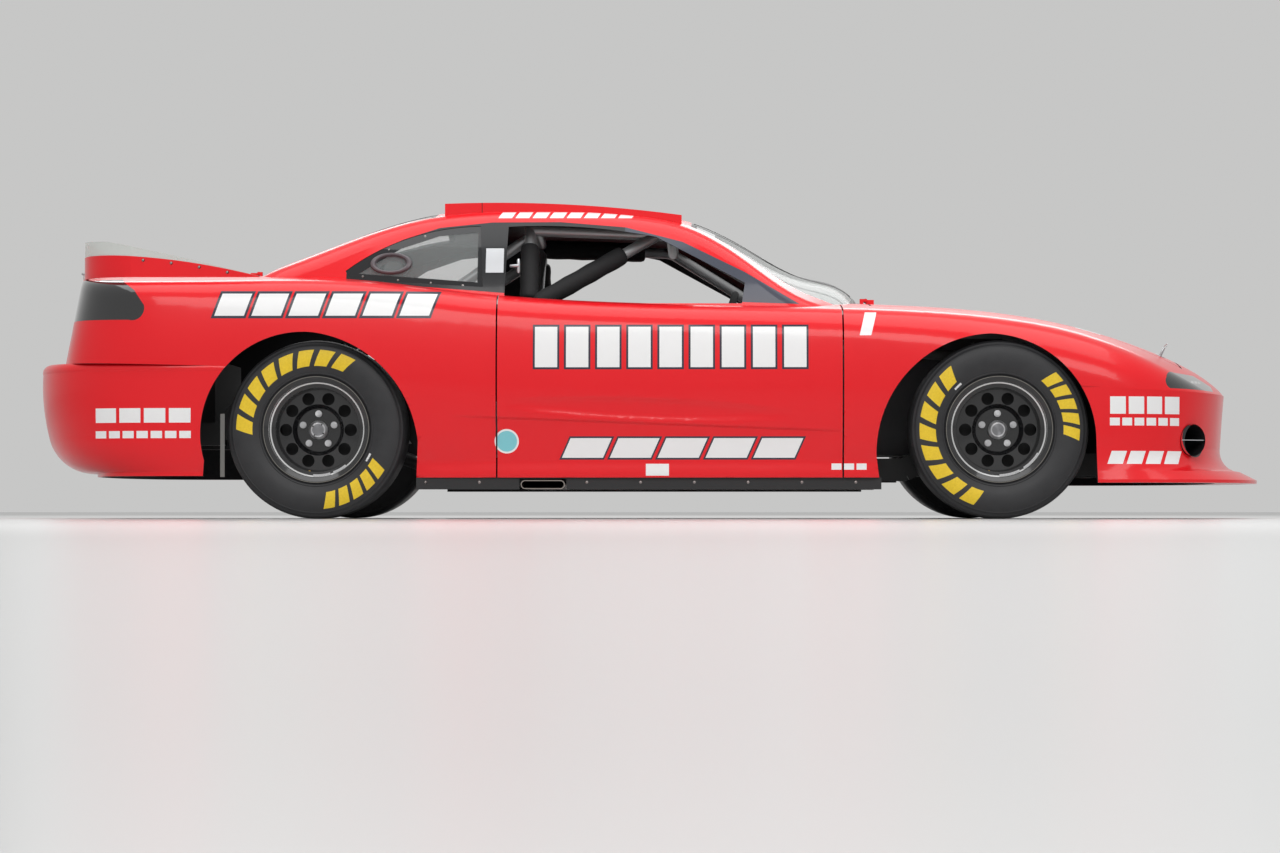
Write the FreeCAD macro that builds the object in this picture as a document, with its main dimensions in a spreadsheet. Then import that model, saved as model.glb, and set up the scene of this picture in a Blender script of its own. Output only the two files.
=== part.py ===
"""Stock car: a tube-framed closed coupe for oval racing, built as separate panels, running gear and wheels.

Frame: +X towards the nose, +Y to the driver's left, +Z up. The origin is on the ground under the middle of
the overall length. Millimetres throughout. Sizes live in the spreadsheet "Sizes"; what is drawn with sketches
and primitives is bound to its cells, and the lofted skins read the same cells in code.
"""
import FreeCAD, Part
import Sketcher
import math
import os

from FreeCAD import Placement, Rotation, Vector

os.makedirs("parts", exist_ok=True)
doc = FreeCAD.newDocument("StockCar")

# ---------------------------------------------------------------- sizes
# alias, value, what it is
SIZES = [
    ("overall_length", 4904, "rear bumper to splitter tip"),
    ("front_overhang", 1094, "front axle to splitter tip"),
    ("wheelbase", 2642, "front axle to rear axle"),
    ("track_width", 1520, "between tyre centre planes"),
    ("body_half_width", 938, "car centre to the widest point of the side"),
    ("roof_height", 1262, "ground to the roof's crown"),
    ("hood_height", 876, "ground to the skin's crown at the cowl"),
    ("deck_height", 985, "ground to the rear deck's crown"),
    ("sill_height", 160, "ground to the lower edge of the doors"),
    ("strip_drop", 46, "rocker strip below the doors"),
    ("nose_seam_height", 500, "ground to the front bumper's top edge"),
    ("tail_seam_height", 612, "ground to the rear bumper's top edge"),
    ("splitter_height", 140, "ground to the splitter's underside"),
    ("skin_thickness", 14, "body panels"),
    ("door_thickness", 40, "whole door"),
    ("glass_thickness", 6, "polycarbonate windows"),
    ("panel_gap", 6, "seam between panels"),
    ("moving_gap", 8, "seam round hood and decklid"),
    ("tyre_diameter", 692, "outside the tread"),
    ("tyre_section", 290, "sidewall to sidewall"),
    ("rim_width", 266, "over the flanges"),
    ("rim_flange_diameter", 414, "over the flanges"),
    ("bead_diameter", 386, "rim's bead seat"),
    ("barrel_wall", 7, "rim barrel"),
    ("disc_wall", 8, "wheel centre"),
    ("disc_setback", 110, "outer flange to the wheel centre's outer face"),
    ("window_count", 10, "vent windows in the wheel centre"),
    ("window_radius", 24, "vent window"),
    ("window_circle", 126, "wheel axis to a window's centre"),
    ("stud_circle", 127, "diameter through the five studs"),
    ("stud_radius", 7.5, "wheel stud"),
    ("nut_radius", 13, "lug nut"),
    ("hub_nose_radius", 37, "hub's nose through the wheel centre"),
    ("brake_disc_diameter", 300, "brake disc"),
    ("brake_disc_thickness", 32, "brake disc"),
    ("spindle_radius", 20, "front spindle and rear stub"),
    ("running_clearance", 0.05, "shaft in its hub"),
    ("seat_clearance", 0.3, "between pieces that seat on each other"),
    ("kingpin_inset", 95, "kingpin axis inboard of the tyre's centre plane"),
    ("steering_arm", 120, "kingpin axis to the tie rod's eye"),
    ("frame_half_width", 640, "car centre to the main rails"),
    ("rail_width", 60, "frame rail"),
    ("rail_depth", 90, "frame rail"),
    ("frame_height", 150, "ground to the frame's underside"),
    ("cage_tube_radius", 22, "roll cage tube"),
    ("axle_tube_radius", 38, "rear axle tube"),
    ("driveshaft_radius", 38, "driveshaft"),
    ("engine_length", 620, "engine block"),
    ("engine_width", 560, "engine block"),
    ("engine_depth", 470, "engine block"),
    ("fuel_cell_length", 480, "fuel cell"),
    ("fuel_cell_width", 820, "fuel cell"),
    ("fuel_cell_depth", 260, "fuel cell"),
    ("radiator_width", 640, "radiator"),
    ("radiator_depth", 330, "radiator"),
    ("radiator_thickness", 70, "radiator"),
    ("steering_wheel_radius", 180, "steering wheel's rim circle"),
    ("grip_radius", 15, "steering wheel's grip"),
    ("roof_rail_width", 22, "roof rail"),
    ("blade_rise", 66, "clear spoiler blade at the tail"),
    ("blade_thickness", 5, "clear spoiler blade"),
]
sheet = doc.addObject("Spreadsheet::Sheet", "Sizes")
for row, (alias, value, meaning) in enumerate(SIZES, start=1):
    sheet.set(f"A{row}", alias)
    sheet.set(f"B{row}", str(value))
    sheet.set(f"C{row}", meaning)
    sheet.setAlias(f"B{row}", alias)
doc.recompute()


def size(alias):
    """The number in the sheet's cell of that alias."""
    return float(getattr(sheet, alias))


# ---------------------------------------------------------------- places that several pieces share
LENGTH = size("overall_length")
FRONT_AXLE = LENGTH / 2 - size("front_overhang")
REAR_AXLE = FRONT_AXLE - size("wheelbase")
WHEEL_Y = size("track_width") / 2
AXLE_Z = size("tyre_diameter") / 2
HALF = size("body_half_width")
SKIN = size("skin_thickness")
GAP = size("panel_gap")
SEAT = size("seat_clearance")
FAR = 6000.0                                   # longer than the car: for cutting tools
DOOR_REAR = REAR_AXLE + 703
DOOR_FRONT = FRONT_AXLE - 606
HOOD_REAR = FRONT_AXLE - 480
HOOD_FRONT = FRONT_AXLE + 752
DECK_REAR = REAR_AXLE - 985
NOSE_TIP = FRONT_AXLE + 967                    # front bumper's face on the centreline
TAIL_TIP = -LENGTH / 2                         # rear bumper's face on the centreline
TAIL_PANEL = REAR_AXLE - 1046                  # tail panel's face on the centreline
HOOD_HALF_REAR = 610.0
HOOD_HALF_FRONT = 470.0
DECK_HALF = 640.0


# ---------------------------------------------------------------- small helpers
def feature(name, shape, placement=Placement()):
    """A document object that holds a shape worked out in code."""
    obj = doc.addObject("Part::Feature", name)
    obj.Label = name
    obj.Shape = shape
    obj.Placement = placement
    return obj


def mirrored(shape):
    """The same piece on the other side of the car."""
    return shape.mirror(Vector(0, 0, 0), Vector(0, 1, 0))


def both_sides(shape):
    """The piece and its mirror image, as two solids that don't touch."""
    return Part.makeCompound(shape.Solids + mirrored(shape).Solids)


def fused(shapes):
    """One solid out of pieces that run into each other."""
    first, rest = shapes[0], shapes[1:]
    return first.multiFuse(rest).removeSplitter() if rest else first


def box(x_low, x_high, y_low, y_high, z_low, z_high):
    return Part.makeBox(x_high - x_low, y_high - y_low, z_high - z_low, Vector(x_low, y_low, z_low))


def outline_xz(steps, y_low, y_high):
    """A prism across the car. steps: ("line", x, z) or ("arc", x_mid, z_mid, x, z), from the first point on."""
    at = Vector(steps[0][1], y_low, steps[0][2])
    edges = []
    for step in steps[1:]:
        to = Vector(step[-2], y_low, step[-1])
        if step[0] == "arc":
            edges.append(Part.Arc(at, Vector(step[1], y_low, step[2]), to).toShape())
        else:
            edges.append(Part.LineSegment(at, to).toShape())
        at = to
    first = Vector(steps[0][1], y_low, steps[0][2])
    if at.distanceToPoint(first) > 1e-6:
        edges.append(Part.LineSegment(at, first).toShape())
    return Part.Face(Part.Wire(edges)).extrude(Vector(0, y_high - y_low, 0))


def outline_xy(steps, z_low, z_high):
    """A prism standing on the ground plan. steps as for outline_xz, with y in place of z."""
    prism = outline_xz(steps, 0, z_high - z_low)
    prism.rotate(Vector(0, 0, 0), Vector(1, 0, 0), -90)      # y of the sketch plane was written as z
    prism.translate(Vector(0, 0, z_high))
    return prism.mirror(Vector(0, 0, 0), Vector(0, 1, 0))


def rod(start, end, radius):
    start, end = Vector(*start), Vector(*end)
    return Part.makeCylinder(radius, (end - start).Length, start, end - start)


def bent_tube(points, radius, bend):
    """A tube along straight runs joined by tangent arcs of radius bend."""
    points = [Vector(*p) for p in points]
    edges, at = [], points[0]
    for before, corner, after in zip(points, points[1:], points[2:]):
        a, b = (before - corner).normalize(), (after - corner).normalize()
        half = a.getAngle(b) / 2
        reach = bend / math.tan(half)
        first, last = corner + a * reach, corner + b * reach
        middle = corner + (a + b).normalize() * (bend / math.sin(half) - bend)
        edges.append(Part.LineSegment(at, first).toShape())
        edges.append(Part.Arc(first, middle, last).toShape())
        at = last
    edges.append(Part.LineSegment(at, points[-1]).toShape())
    ring = Part.Wire(Part.makeCircle(radius, points[0], points[1] - points[0]))
    return Part.Wire(edges).makePipeShell([ring], True, False)


def beam(start, end, width, depth):
    """A box-section rail between two points in a plane parallel to XZ, or across the car."""
    start, end = Vector(*start), Vector(*end)
    run = end - start
    bar = Part.makeBox(run.Length, width, depth, Vector(0, -width / 2, -depth / 2))
    return feature_shape(bar, Placement(start, Rotation(Vector(1, 0, 0), run)))


def feature_shape(shape, placement):
    """The shape moved by a placement."""
    moved = shape.copy()
    moved.Placement = placement.multiply(moved.Placement)
    return moved


# ---------------------------------------------------------------- plan curves at the two ends
class EndPlan:
    """A superellipse in plan that wraps round one end of the car: straight at the sides, rounder at the corner."""

    def __init__(self, start, tip, half, power):
        self.start, self.tip, self.half, self.power = start, tip, half, power

    def half_at(self, x, inset=0.0):
        """Half width at x, for the curve taken in by inset."""
        reach = abs(self.tip - self.start) - inset
        along = max(0.0, (x - self.start) / (self.tip - self.start) * abs(self.tip - self.start) / reach)
        return (self.half - inset) * (1 - along ** self.power) ** (1 / self.power)

    def at(self, degrees):
        """Point and outward normal in plan: 0 is the car's end on the centreline, 90 the left side."""
        c, s = math.cos(math.radians(degrees)), math.sin(math.radians(degrees))
        share = 2 / self.power
        sign = 1 if s >= 0 else -1
        point = Vector(self.start + (self.tip - self.start) * abs(c) ** share, sign * self.half * abs(s) ** share, 0)
        normal = Vector(abs(c) ** (2 - share) / (self.tip - self.start), sign * abs(s) ** (2 - share) / self.half, 0)
        return point, normal.normalize()


NOSE_PLAN = EndPlan(FRONT_AXLE + 377, NOSE_TIP, HALF - 16, 2.5)
TAIL_PLAN = EndPlan(REAR_AXLE - 616, TAIL_PANEL, HALF - 8, 3.4)
REAR_BUMPER_PLAN = EndPlan(REAR_AXLE - 440, TAIL_TIP, HALF, 3.0)


def wrap(plan, angles, profile, lead_in=0.0):
    """A shell that wraps round an end of the car.

    profile(nose, point) gives the closed outline in a vertical plane square to the plan curve, where nose is how far
    that plane points along the car, from 0 at the side to 1 on the centreline. Its steps are ("line", out, z)
    or ("arc", out_mid, z_mid, out, z). lead_in carries both ends straight on along the sides.
    """
    stations = [plan.at(a) for a in angles]
    if lead_in:
        back = Vector(lead_in if plan.tip < plan.start else -lead_in, 0, 0)
        stations = [(stations[0][0] + back, stations[0][1])] + stations + [(stations[-1][0] + back, stations[-1][1])]
    wires = []
    for point, normal in stations:
        steps = profile(abs(normal.x), point)

        def place(out, z):
            return point + normal * out + Vector(0, 0, z)

        at = place(*steps[0][1:])
        edges = []
        for step in steps[1:] + [("line",) + tuple(steps[0][1:])]:
            to = place(step[-2], step[-1])
            if step[0] == "arc":
                edges.append(Part.Arc(at, place(step[1], step[2]), to).toShape())
            else:
                edges.append(Part.LineSegment(at, to).toShape())
            at = to
        wires.append(Part.Wire(edges))
    return Part.makeLoft(wires, True, False)


# ---------------------------------------------------------------- cross sections of the skin
def section(x, top, crown, half, waist, side, shoulder, foot, lower=1400.0, inset=0.0, lean=0.0):
    """Closed outline across the car at x, leaning forward by lean for each millimetre above the waist.

    A crown arc over the top, a shoulder arc on each side, a side arc down to the waist, where the body is
    widest, a lower arc to the foot, and a flat foot. Each arc is tangent to the next. half is already taken in.
    """
    centre = Vector(0, 0, top - crown)
    flank = Vector(0, half + inset - side, waist)
    reach, drop = crown - shoulder, side - shoulder
    between = flank - centre
    along = (reach ** 2 - drop ** 2 + between.Length ** 2) / (2 * between.Length)
    across = math.sqrt(reach ** 2 - along ** 2)
    unit = between.normalize()
    corner = centre + unit * along + Vector(0, -unit.z, unit.y) * across
    if corner.y < 0:
        corner = centre + unit * along - Vector(0, -unit.z, unit.y) * across
    to_crown, to_flank = (corner - centre).normalize(), (corner - flank).normalize()
    crown_end = centre + to_crown * (crown - inset)
    side_top = flank + to_flank * (side - inset)
    shoulder_mid = corner + (to_crown + to_flank).normalize() * (shoulder - inset)
    widest = Vector(0, half, waist)
    side_mid = flank + (to_flank + Vector(0, 1, 0)).normalize() * (side - inset)
    low = Vector(0, half + inset - lower, waist)
    foot_y = low.y + math.sqrt((lower - inset) ** 2 - (waist - foot) ** 2)
    foot_at = Vector(0, foot_y, foot)
    lower_mid = low + ((foot_at - low).normalize() + Vector(0, 1, 0)).normalize() * (lower - inset)
    left = [foot_at, lower_mid, widest, side_mid, side_top, shoulder_mid, crown_end]
    for p in left:
        p.x = x + lean * (p.z - waist)
    right = [Vector(p.x, -p.y, p.z) for p in left]
    crest = Vector(x + lean * (top - inset - waist), 0, top - inset)
    arcs = [(left[0], left[1], left[2]), (left[2], left[3], left[4]), (left[4], left[5], left[6]),
            (left[6], crest, right[6]),
            (right[6], right[5], right[4]), (right[4], right[3], right[2]), (right[2], right[1], right[0])]
    edges = [Part.Arc(*a).toShape() for a in arcs]
    edges.append(Part.LineSegment(right[0], left[0]).toShape())
    return Part.Wire(edges)


# Lower body. Columns: axle it is measured from, distance ahead of that axle, height of the crown below (-) or
# above the deck or hood height, crown radius, half width (None: from the end's plan curve), waist height,
# side radius, shoulder radius, forward lean.
HOOD_Z, DECK_Z = size("hood_height"), size("deck_height")
BODY_STATIONS = [
    (REAR_AXLE, -1030, DECK_Z - 8, 6000, None, 670, 1300, 50, 0.19),
    (REAR_AXLE, -996, DECK_Z - 7, 6000, None, 670, 1300, 60, 0.17),
    (REAR_AXLE, -916, DECK_Z - 5, 6000, None, 670, 1300, 70, 0.13),
    (REAR_AXLE, -756, DECK_Z - 2, 6000, None, 665, 1300, 85, 0.06),
    (REAR_AXLE, -366, DECK_Z, 6000, HALF - 2, 650, 1200, 105, 0),
    (REAR_AXLE, 124, DECK_Z - 3, 6000, HALF, 620, 1150, 115, 0),
    (REAR_AXLE, 584, DECK_Z - 51, 6000, HALF - 4, 585, 1150, 120, 0),
    (FRONT_AXLE, -1508, HOOD_Z + 20, 6000, HALF - 6, 560, 1150, 120, 0),
    (FRONT_AXLE, -908, HOOD_Z + 5, 6000, HALF - 5, 560, 1150, 130, 0),
    (FRONT_AXLE, -408, HOOD_Z - 8, 6000, HALF - 1, 560, 1150, 150, 0),
    (FRONT_AXLE, 42, HOOD_Z - 41, 5600, HALF, 530, 1100, 175, 0),
    (FRONT_AXLE, 332, HOOD_Z - 92, 4800, HALF - 13, 480, 1000, 190, 0),
    (FRONT_AXLE, 542, HOOD_Z - 150, 3600, None, 440, 900, 165, 0),
    (FRONT_AXLE, 712, HOOD_Z - 212, 2600, None, 420, 700, 125, 0),
    (FRONT_AXLE, 832, HOOD_Z - 268, 1900, None, 410, 500, 85, 0),
    (FRONT_AXLE, 912, HOOD_Z - 318, 1400, None, 405, 350, 50, 0),
    (FRONT_AXLE, 952, HOOD_Z - 352, 1100, None, 400, 250, 25, 0),
]


def body_loft(inset, foot, stations=BODY_STATIONS):
    """The lower body's solid, taken in all round by inset."""
    wires = []
    last = len(stations) - 1
    for n, (axle, ahead, top, crown, half, waist, side, shoulder, lean) in enumerate(stations):
        x = axle + ahead
        if n == 0:
            x += inset
        if n == last:
            x -= inset
        if half is None:
            plan = TAIL_PLAN if axle == REAR_AXLE else NOSE_PLAN
            width = plan.half_at(x, inset)
        else:
            width = half - inset
        shoulder = max(shoulder, inset + 8)
        wires.append(section(x, top, crown, width, waist, side, shoulder, foot, inset=inset, lean=lean))
    return Part.makeLoft(wires, True, False)


# Cabin. Columns as above, with the crown's height measured down from the roof and the widest point's height,
# low inside the body, in place of the waist.
ROOF_Z = size("roof_height")
CABIN_STATIONS = [
    (REAR_AXLE, -290, ROOF_Z - 295, 4200, 690, 600, 1000, 90),
    (REAR_AXLE, -110, ROOF_Z - 200, 3800, 732, 600, 1000, 110),
    (REAR_AXLE, 130, ROOF_Z - 106, 3600, 775, 600, 1000, 120),
    (REAR_AXLE, 390, ROOF_Z - 30, 3600, 805, 600, 1000, 120),
    (REAR_AXLE, 640, ROOF_Z - 4, 3700, 816, 600, 1000, 115),
    (FRONT_AXLE, -1708, ROOF_Z - 1, 3700, 818, 600, 1000, 115),
    (FRONT_AXLE, -1408, ROOF_Z - 17, 3500, 816, 600, 1000, 115),
    (FRONT_AXLE, -1238, ROOF_Z - 42, 3200, 814, 600, 1000, 115),
    (FRONT_AXLE, -978, ROOF_Z - 152, 2500, 806, 600, 1000, 100),
    (FRONT_AXLE, -728, ROOF_Z - 276, 2000, 795, 600, 1000, 90),
    (FRONT_AXLE, -518, ROOF_Z - 382, 1700, 780, 600, 1000, 80),
]


def cabin_loft(inset, foot=500.0):
    """The cabin's solid, taken in by inset."""
    wires = []
    for axle, ahead, top, crown, half, waist, side, shoulder in CABIN_STATIONS:
        wires.append(section(axle + ahead, top, crown, half - inset, waist, side, shoulder, foot, inset=inset))
    return Part.makeLoft(wires, True, False)


# ---------------------------------------------------------------- side-view cut lines
# steps as for outline_xz, measured from the axles
FRONT_ARCH = [
    ("line", FRONT_AXLE - 451, 60), ("line", FRONT_AXLE - 475, 245),
    ("arc", FRONT_AXLE - 367, 553, FRONT_AXLE - 35, 716),
    ("arc", FRONT_AXLE + 269, 572, FRONT_AXLE + 370, 302), ("line", FRONT_AXLE + 377, 60)]
REAR_ARCH = [
    ("line", REAR_AXLE - 446, 60), ("line", REAR_AXLE - 430, 225),
    ("arc", REAR_AXLE - 345, 590, REAR_AXLE - 16, 722),
    ("arc", REAR_AXLE + 291, 553, REAR_AXLE + 395, 300), ("line", REAR_AXLE + 383, 60)]
NOSE_SEAM = [
    ("line", FRONT_AXLE + 290, 0), ("line", FRONT_AXLE + 290, 514), ("arc", FRONT_AXLE + 560, 501, FRONT_AXLE + 870, 490),
    ("line", FRONT_AXLE + 1300, 480), ("line", FRONT_AXLE + 1300, 0)]
TAIL_SEAM = [
    ("line", REAR_AXLE - 340, 0), ("line", REAR_AXLE - 340, 590), ("line", REAR_AXLE - 1300, 614),
    ("line", REAR_AXLE - 1300, 0)]
DOOR_WINDOW = [
    ("line", DOOR_REAR + 18, 840), ("line", DOOR_REAR + 30, 1150), ("arc", DOOR_REAR + 290, 1150, DOOR_REAR + 610, 1108),
    ("line", DOOR_FRONT - 374, 922), ("line", DOOR_FRONT - 386, 840)]
QUARTER_WINDOW = [
    ("line", REAR_AXLE + 114, 938), ("line", REAR_AXLE + 94, 973), ("arc", REAR_AXLE + 300, 1090, REAR_AXLE + 623, 1153),
    ("line", REAR_AXLE + 639, 905)]
HEADLAMP = [
    ("line", FRONT_AXLE + 880, 502), ("line", FRONT_AXLE + 664, 506), ("arc", FRONT_AXLE + 650, 520, FRONT_AXLE + 652, 550),
    ("arc", FRONT_AXLE + 660, 566, FRONT_AXLE + 690, 570), ("line", FRONT_AXLE + 800, 566), ("line", FRONT_AXLE + 880, 524)]
TAIL_LAMP = [
    ("line", REAR_AXLE - 1200, 775), ("line", REAR_AXLE - 724, 770), ("arc", REAR_AXLE - 676, 782, REAR_AXLE - 664, 827),
    ("line", REAR_AXLE - 705, 886), ("line", REAR_AXLE - 775, 936), ("line", REAR_AXLE - 1200, 942)]


def taper(x_rear, x_front, half_rear, half_front, grow=0.0, z_low=0.0, z_high=1500.0):
    """A block on the centreline whose sides taper in plan, grown all round."""
    return outline_xy([("line", x_rear - grow, -half_rear - grow), ("line", x_front + grow, -half_front - grow),
                       ("line", x_front + grow, half_front + grow), ("line", x_rear - grow, half_rear + grow)],
                      z_low, z_high)


# ---------------------------------------------------------------- body panels
SILL = size("sill_height")
MOVE = size("moving_gap")
body_outer = body_loft(0, SILL)
body_inner = body_loft(SKIN, SILL - 20)
cabin_outer = cabin_loft(0)
cabin_inner = cabin_loft(SKIN)
front_arch = outline_xz(FRONT_ARCH, -1200, 1200)
rear_arch = outline_xz(REAR_ARCH, -1200, 1200)
nose_seam = outline_xz(NOSE_SEAM, -1200, 1200)
tail_seam = outline_xz(TAIL_SEAM, -1200, 1200)
HOOD_PLAN = (HOOD_REAR, HOOD_FRONT, HOOD_HALF_REAR, HOOD_HALF_FRONT)
DECK_PLAN = (DECK_REAR, REAR_AXLE - 312, DECK_HALF, DECK_HALF - 20)
NOSE_HALF, TAIL_HALF = HOOD_HALF_FRONT + 30, 600.0


def largest(shape):
    """The biggest solid of a cut, dropping slivers."""
    return max(shape.Solids, key=lambda s: s.Volume)


def left_one(shape):
    """The biggest solid of a cut on the car's left."""
    return max([s for s in shape.Solids if s.CenterOfMass.y > 0], key=lambda s: s.Volume)


def panel(zone, inner=body_inner):
    """The part of the body's skin inside a zone."""
    return largest(zone.common(body_outer).cut(inner).cut(cabin_inner))


def zone(block, *cuts):
    """A block less the zones of its neighbours."""
    for tool in cuts:
        block = block.cut(tool)
    return block


hood_hole = taper(*HOOD_PLAN, grow=MOVE, z_low=500)
deck_hole = taper(*DECK_PLAN, grow=MOVE, z_low=800)
nose_block = box(HOOD_FRONT + MOVE - 3, LENGTH, -NOSE_HALF, NOSE_HALF, 400, 1500)
tail_block = box(-LENGTH, REAR_AXLE - 990, -TAIL_HALF, TAIL_HALF, 400, 1500)
cowl_block = box(DOOR_FRONT - 80, HOOD_REAR + 1, -HOOD_HALF_REAR, HOOD_HALF_REAR, 700, 1500)
shelf_block = box(REAR_AXLE - 330, REAR_AXLE - 200, -DECK_HALF + 20, DECK_HALF - 20, 700, 1500)
headlamp_left = outline_xz(HEADLAMP, 380, 1200)
tail_lamp_left = outline_xz(TAIL_LAMP, 540, 1200)
lamps = [both_sides(headlamp_left), both_sides(tail_lamp_left)]

hood = panel(taper(*HOOD_PLAN, z_low=500))
decklid = panel(taper(*DECK_PLAN, z_low=800))
nose_panel = panel(zone(nose_block, hood_hole, nose_seam, lamps[0]))
tail_panel = panel(zone(tail_block, deck_hole, tail_seam, lamps[1]))
cowl_panel = panel(zone(cowl_block, hood_hole))
rear_shelf = panel(zone(shelf_block, deck_hole))
headlamp_shape = panel(headlamp_left)
tail_lamp_shape = panel(zone(tail_lamp_left, deck_hole))
ahead = box(DOOR_FRONT + GAP, LENGTH, 300, LENGTH, 0, 1500)
behind = box(-LENGTH, DOOR_REAR - GAP, 300, LENGTH, 0, 1500)
fender_left = panel(zone(ahead, hood_hole, nose_block, cowl_block, nose_seam, front_arch, headlamp_left))
quarter_left = panel(zone(behind, deck_hole, tail_block, shelf_block, tail_seam, rear_arch, tail_lamp_left))
door_inner = body_loft(size("door_thickness"), SILL - 20, BODY_STATIONS[4:11])
door_left = panel(box(DOOR_REAR, DOOR_FRONT, HOOD_HALF_REAR + SEAT, LENGTH, 0, 1500), door_inner)

# strap hinges: pins on the fixed panel, barrels on the lid, both above the skin
HINGE_PIN, HINGE_BARREL, HINGE_LONG = 4.0, 8.0, 40.0
HOOD_AXIS = Vector(HOOD_REAR - 4, 0, HOOD_Z + 8)
DECK_AXIS = Vector(REAR_AXLE - 308, 0, DECK_Z + 11)


def hinge(axis, lid_side, bracket_end):
    """The lid's barrel with its strap, and the fixed pin with its bracket, at both hinges of a lid."""
    straps, pins = [], []
    for y in (150.0, -150.0 - HINGE_LONG):
        start = axis + Vector(0, y, 0)
        bore = Part.makeCylinder(HINGE_PIN + 0.05, HINGE_LONG + 2, start - Vector(0, 1, 0), Vector(0, 1, 0))
        barrel = Part.makeCylinder(HINGE_BARREL, HINGE_LONG, start, Vector(0, 1, 0))
        near, far = sorted([axis.x + lid_side * 1.5, axis.x + lid_side * 34])
        strap = box(near, far, y, y + HINGE_LONG, axis.z - 24, axis.z + 3)
        straps.append(barrel.fuse(strap).cut(bore))
        near, far = sorted([axis.x - lid_side * bracket_end[0], axis.x - lid_side * bracket_end[1]])
        plate = box(near, far, y - 14, y - 4, axis.z - 26, axis.z + 6)
        tab = box(min(near, axis.x - 5), max(far, axis.x + 5), y - 14, y - 4, axis.z - 5, axis.z + 6)
        pin = Part.makeCylinder(HINGE_PIN, HINGE_LONG + 14, start - Vector(0, 14, 0), Vector(0, 1, 0))
        pins.append(plate.fuse(tab).fuse(pin))
    return straps, pins


hood_straps, hood_pins = hinge(HOOD_AXIS, 1, (9, 24))
deck_straps, deck_pins = hinge(DECK_AXIS, -1, (6, 16))
hood = largest(hood.multiFuse(hood_straps))
cowl_panel = largest(cowl_panel.multiFuse(hood_pins))
decklid = largest(decklid.multiFuse(deck_straps))
rear_shelf = largest(rear_shelf.multiFuse(deck_pins))

# cabin shell with its openings
WINDSCREEN = (FRONT_AXLE - 1190, FRONT_AXLE - 480, 560, 690)
BACKLIGHT = (REAR_AXLE - 300, REAR_AXLE + 440, 500, 585)
shell = cabin_outer.cut(cabin_inner).cut(body_outer)
side_openings = [both_sides(outline_xz(o, 400, 1200)) for o in (DOOR_WINDOW, QUARTER_WINDOW)]
roof = shell.cut(taper(*WINDSCREEN, z_low=700)).cut(taper(*BACKLIGHT, z_low=700))
for opening in side_openings:
    roof = roof.cut(opening)
roof = largest(roof)
glass_skin = cabin_loft(2).cut(cabin_loft(2 + size("glass_thickness"))).cut(body_outer)
windshield = largest(glass_skin.common(taper(*WINDSCREEN, grow=-SEAT, z_low=700)))
rear_window = largest(glass_skin.common(taper(*BACKLIGHT, grow=-SEAT, z_low=700)))
quarter_glass = outline_xz(QUARTER_WINDOW, 400, 1200).makeOffsetShape(-SEAT, 0.01)
side_windows = both_sides(left_one(glass_skin.common(quarter_glass)))

RAIL_Y = 560.0
RAIL_LINE = [("line", -808, 1100), ("line", -808, 1248), ("arc", -353, 1246, 130, 1202), ("line", 130, 1100)]
rail_half = size("roof_rail_width") / 2
roof_rail = outline_xz(RAIL_LINE, RAIL_Y - rail_half, RAIL_Y + rail_half).cut(cabin_outer)
roof_rails = both_sides(largest(roof_rail))


# ---------------------------------------------------------------- bumpers and spoiler
NOSE_Z, TAIL_Z = size("nose_seam_height"), size("tail_seam_height")
SPLIT_Z = size("splitter_height")
LIP = LENGTH / 2 - NOSE_TIP


def nose_profile(nose, point):
    """Front bumper: upright at the sides, hollowed face and a jutting lip at the centre."""
    lip = 12 + (LIP - 12) * nose
    return [("line", 0, NOSE_Z + 20), ("arc", 3 - 15 * nose, 390, -20 * nose, 275),
            ("arc", 1 - 13 * nose, 232, 6 + 54 * nose, 186), ("line", lip, SPLIT_Z + 12), ("line", lip, SPLIT_Z),
            ("line", -30 - 10 * nose, SPLIT_Z), ("line", -30 - 10 * nose, 200), ("line", -SKIN - 20 * nose, 275),
            ("arc", 3 - SKIN - 15 * nose, 390, -SKIN, NOSE_Z + 20)]


def tail_profile(nose, point):
    """Rear bumper: a ledge on top, a full face and a tucked-under lower edge."""
    ledge = 20 + 105 * nose
    return [("line", -ledge, TAIL_Z - 6), ("line", -30, TAIL_Z - 2), ("arc", -8, TAIL_Z - 10, 0, TAIL_Z - 40),
            ("arc", 1 - 3 * nose, 460, -26 * nose, 321), ("arc", -8 - 60 * nose, 240, -20 - 200 * nose, 180),
            ("line", -20 - 200 * nose, 166), ("line", -34 - 200 * nose, 166), ("line", -34 - 200 * nose, 190),
            ("arc", -22 - 60 * nose, 250, -14 - 26 * nose, 321), ("arc", -13 - 3 * nose, 460, -SKIN, TAIL_Z - 40),
            ("line", -24, TAIL_Z - 20), ("line", -ledge, TAIL_Z - 18)]


WRAP_ANGLES = [-90, -72, -56, -42, -28, -14, 0, 14, 28, 42, 56, 72, 90]
front_bumper = wrap(NOSE_PLAN, WRAP_ANGLES, nose_profile, 110).common(nose_seam).cut(front_arch)
below_tail = tail_seam.copy()
below_tail.translate(Vector(0, 0, -SEAT))
rear_bumper = wrap(REAR_BUMPER_PLAN, WRAP_ANGLES, tail_profile, 110).common(below_tail).cut(rear_arch)
GRILLE = box(NOSE_TIP - 200, FAR, -330, 330, 300, 390)
front_bumper = front_bumper.cut(GRILLE)
duct_point, duct_normal = NOSE_PLAN.at(52)
duct = Part.makeCylinder(62, 160, duct_point - duct_normal * 100 + Vector(0, 0, 306), duct_normal)
front_bumper = largest(front_bumper.cut(both_sides(duct)))
rear_bumper = largest(rear_bumper)


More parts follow.
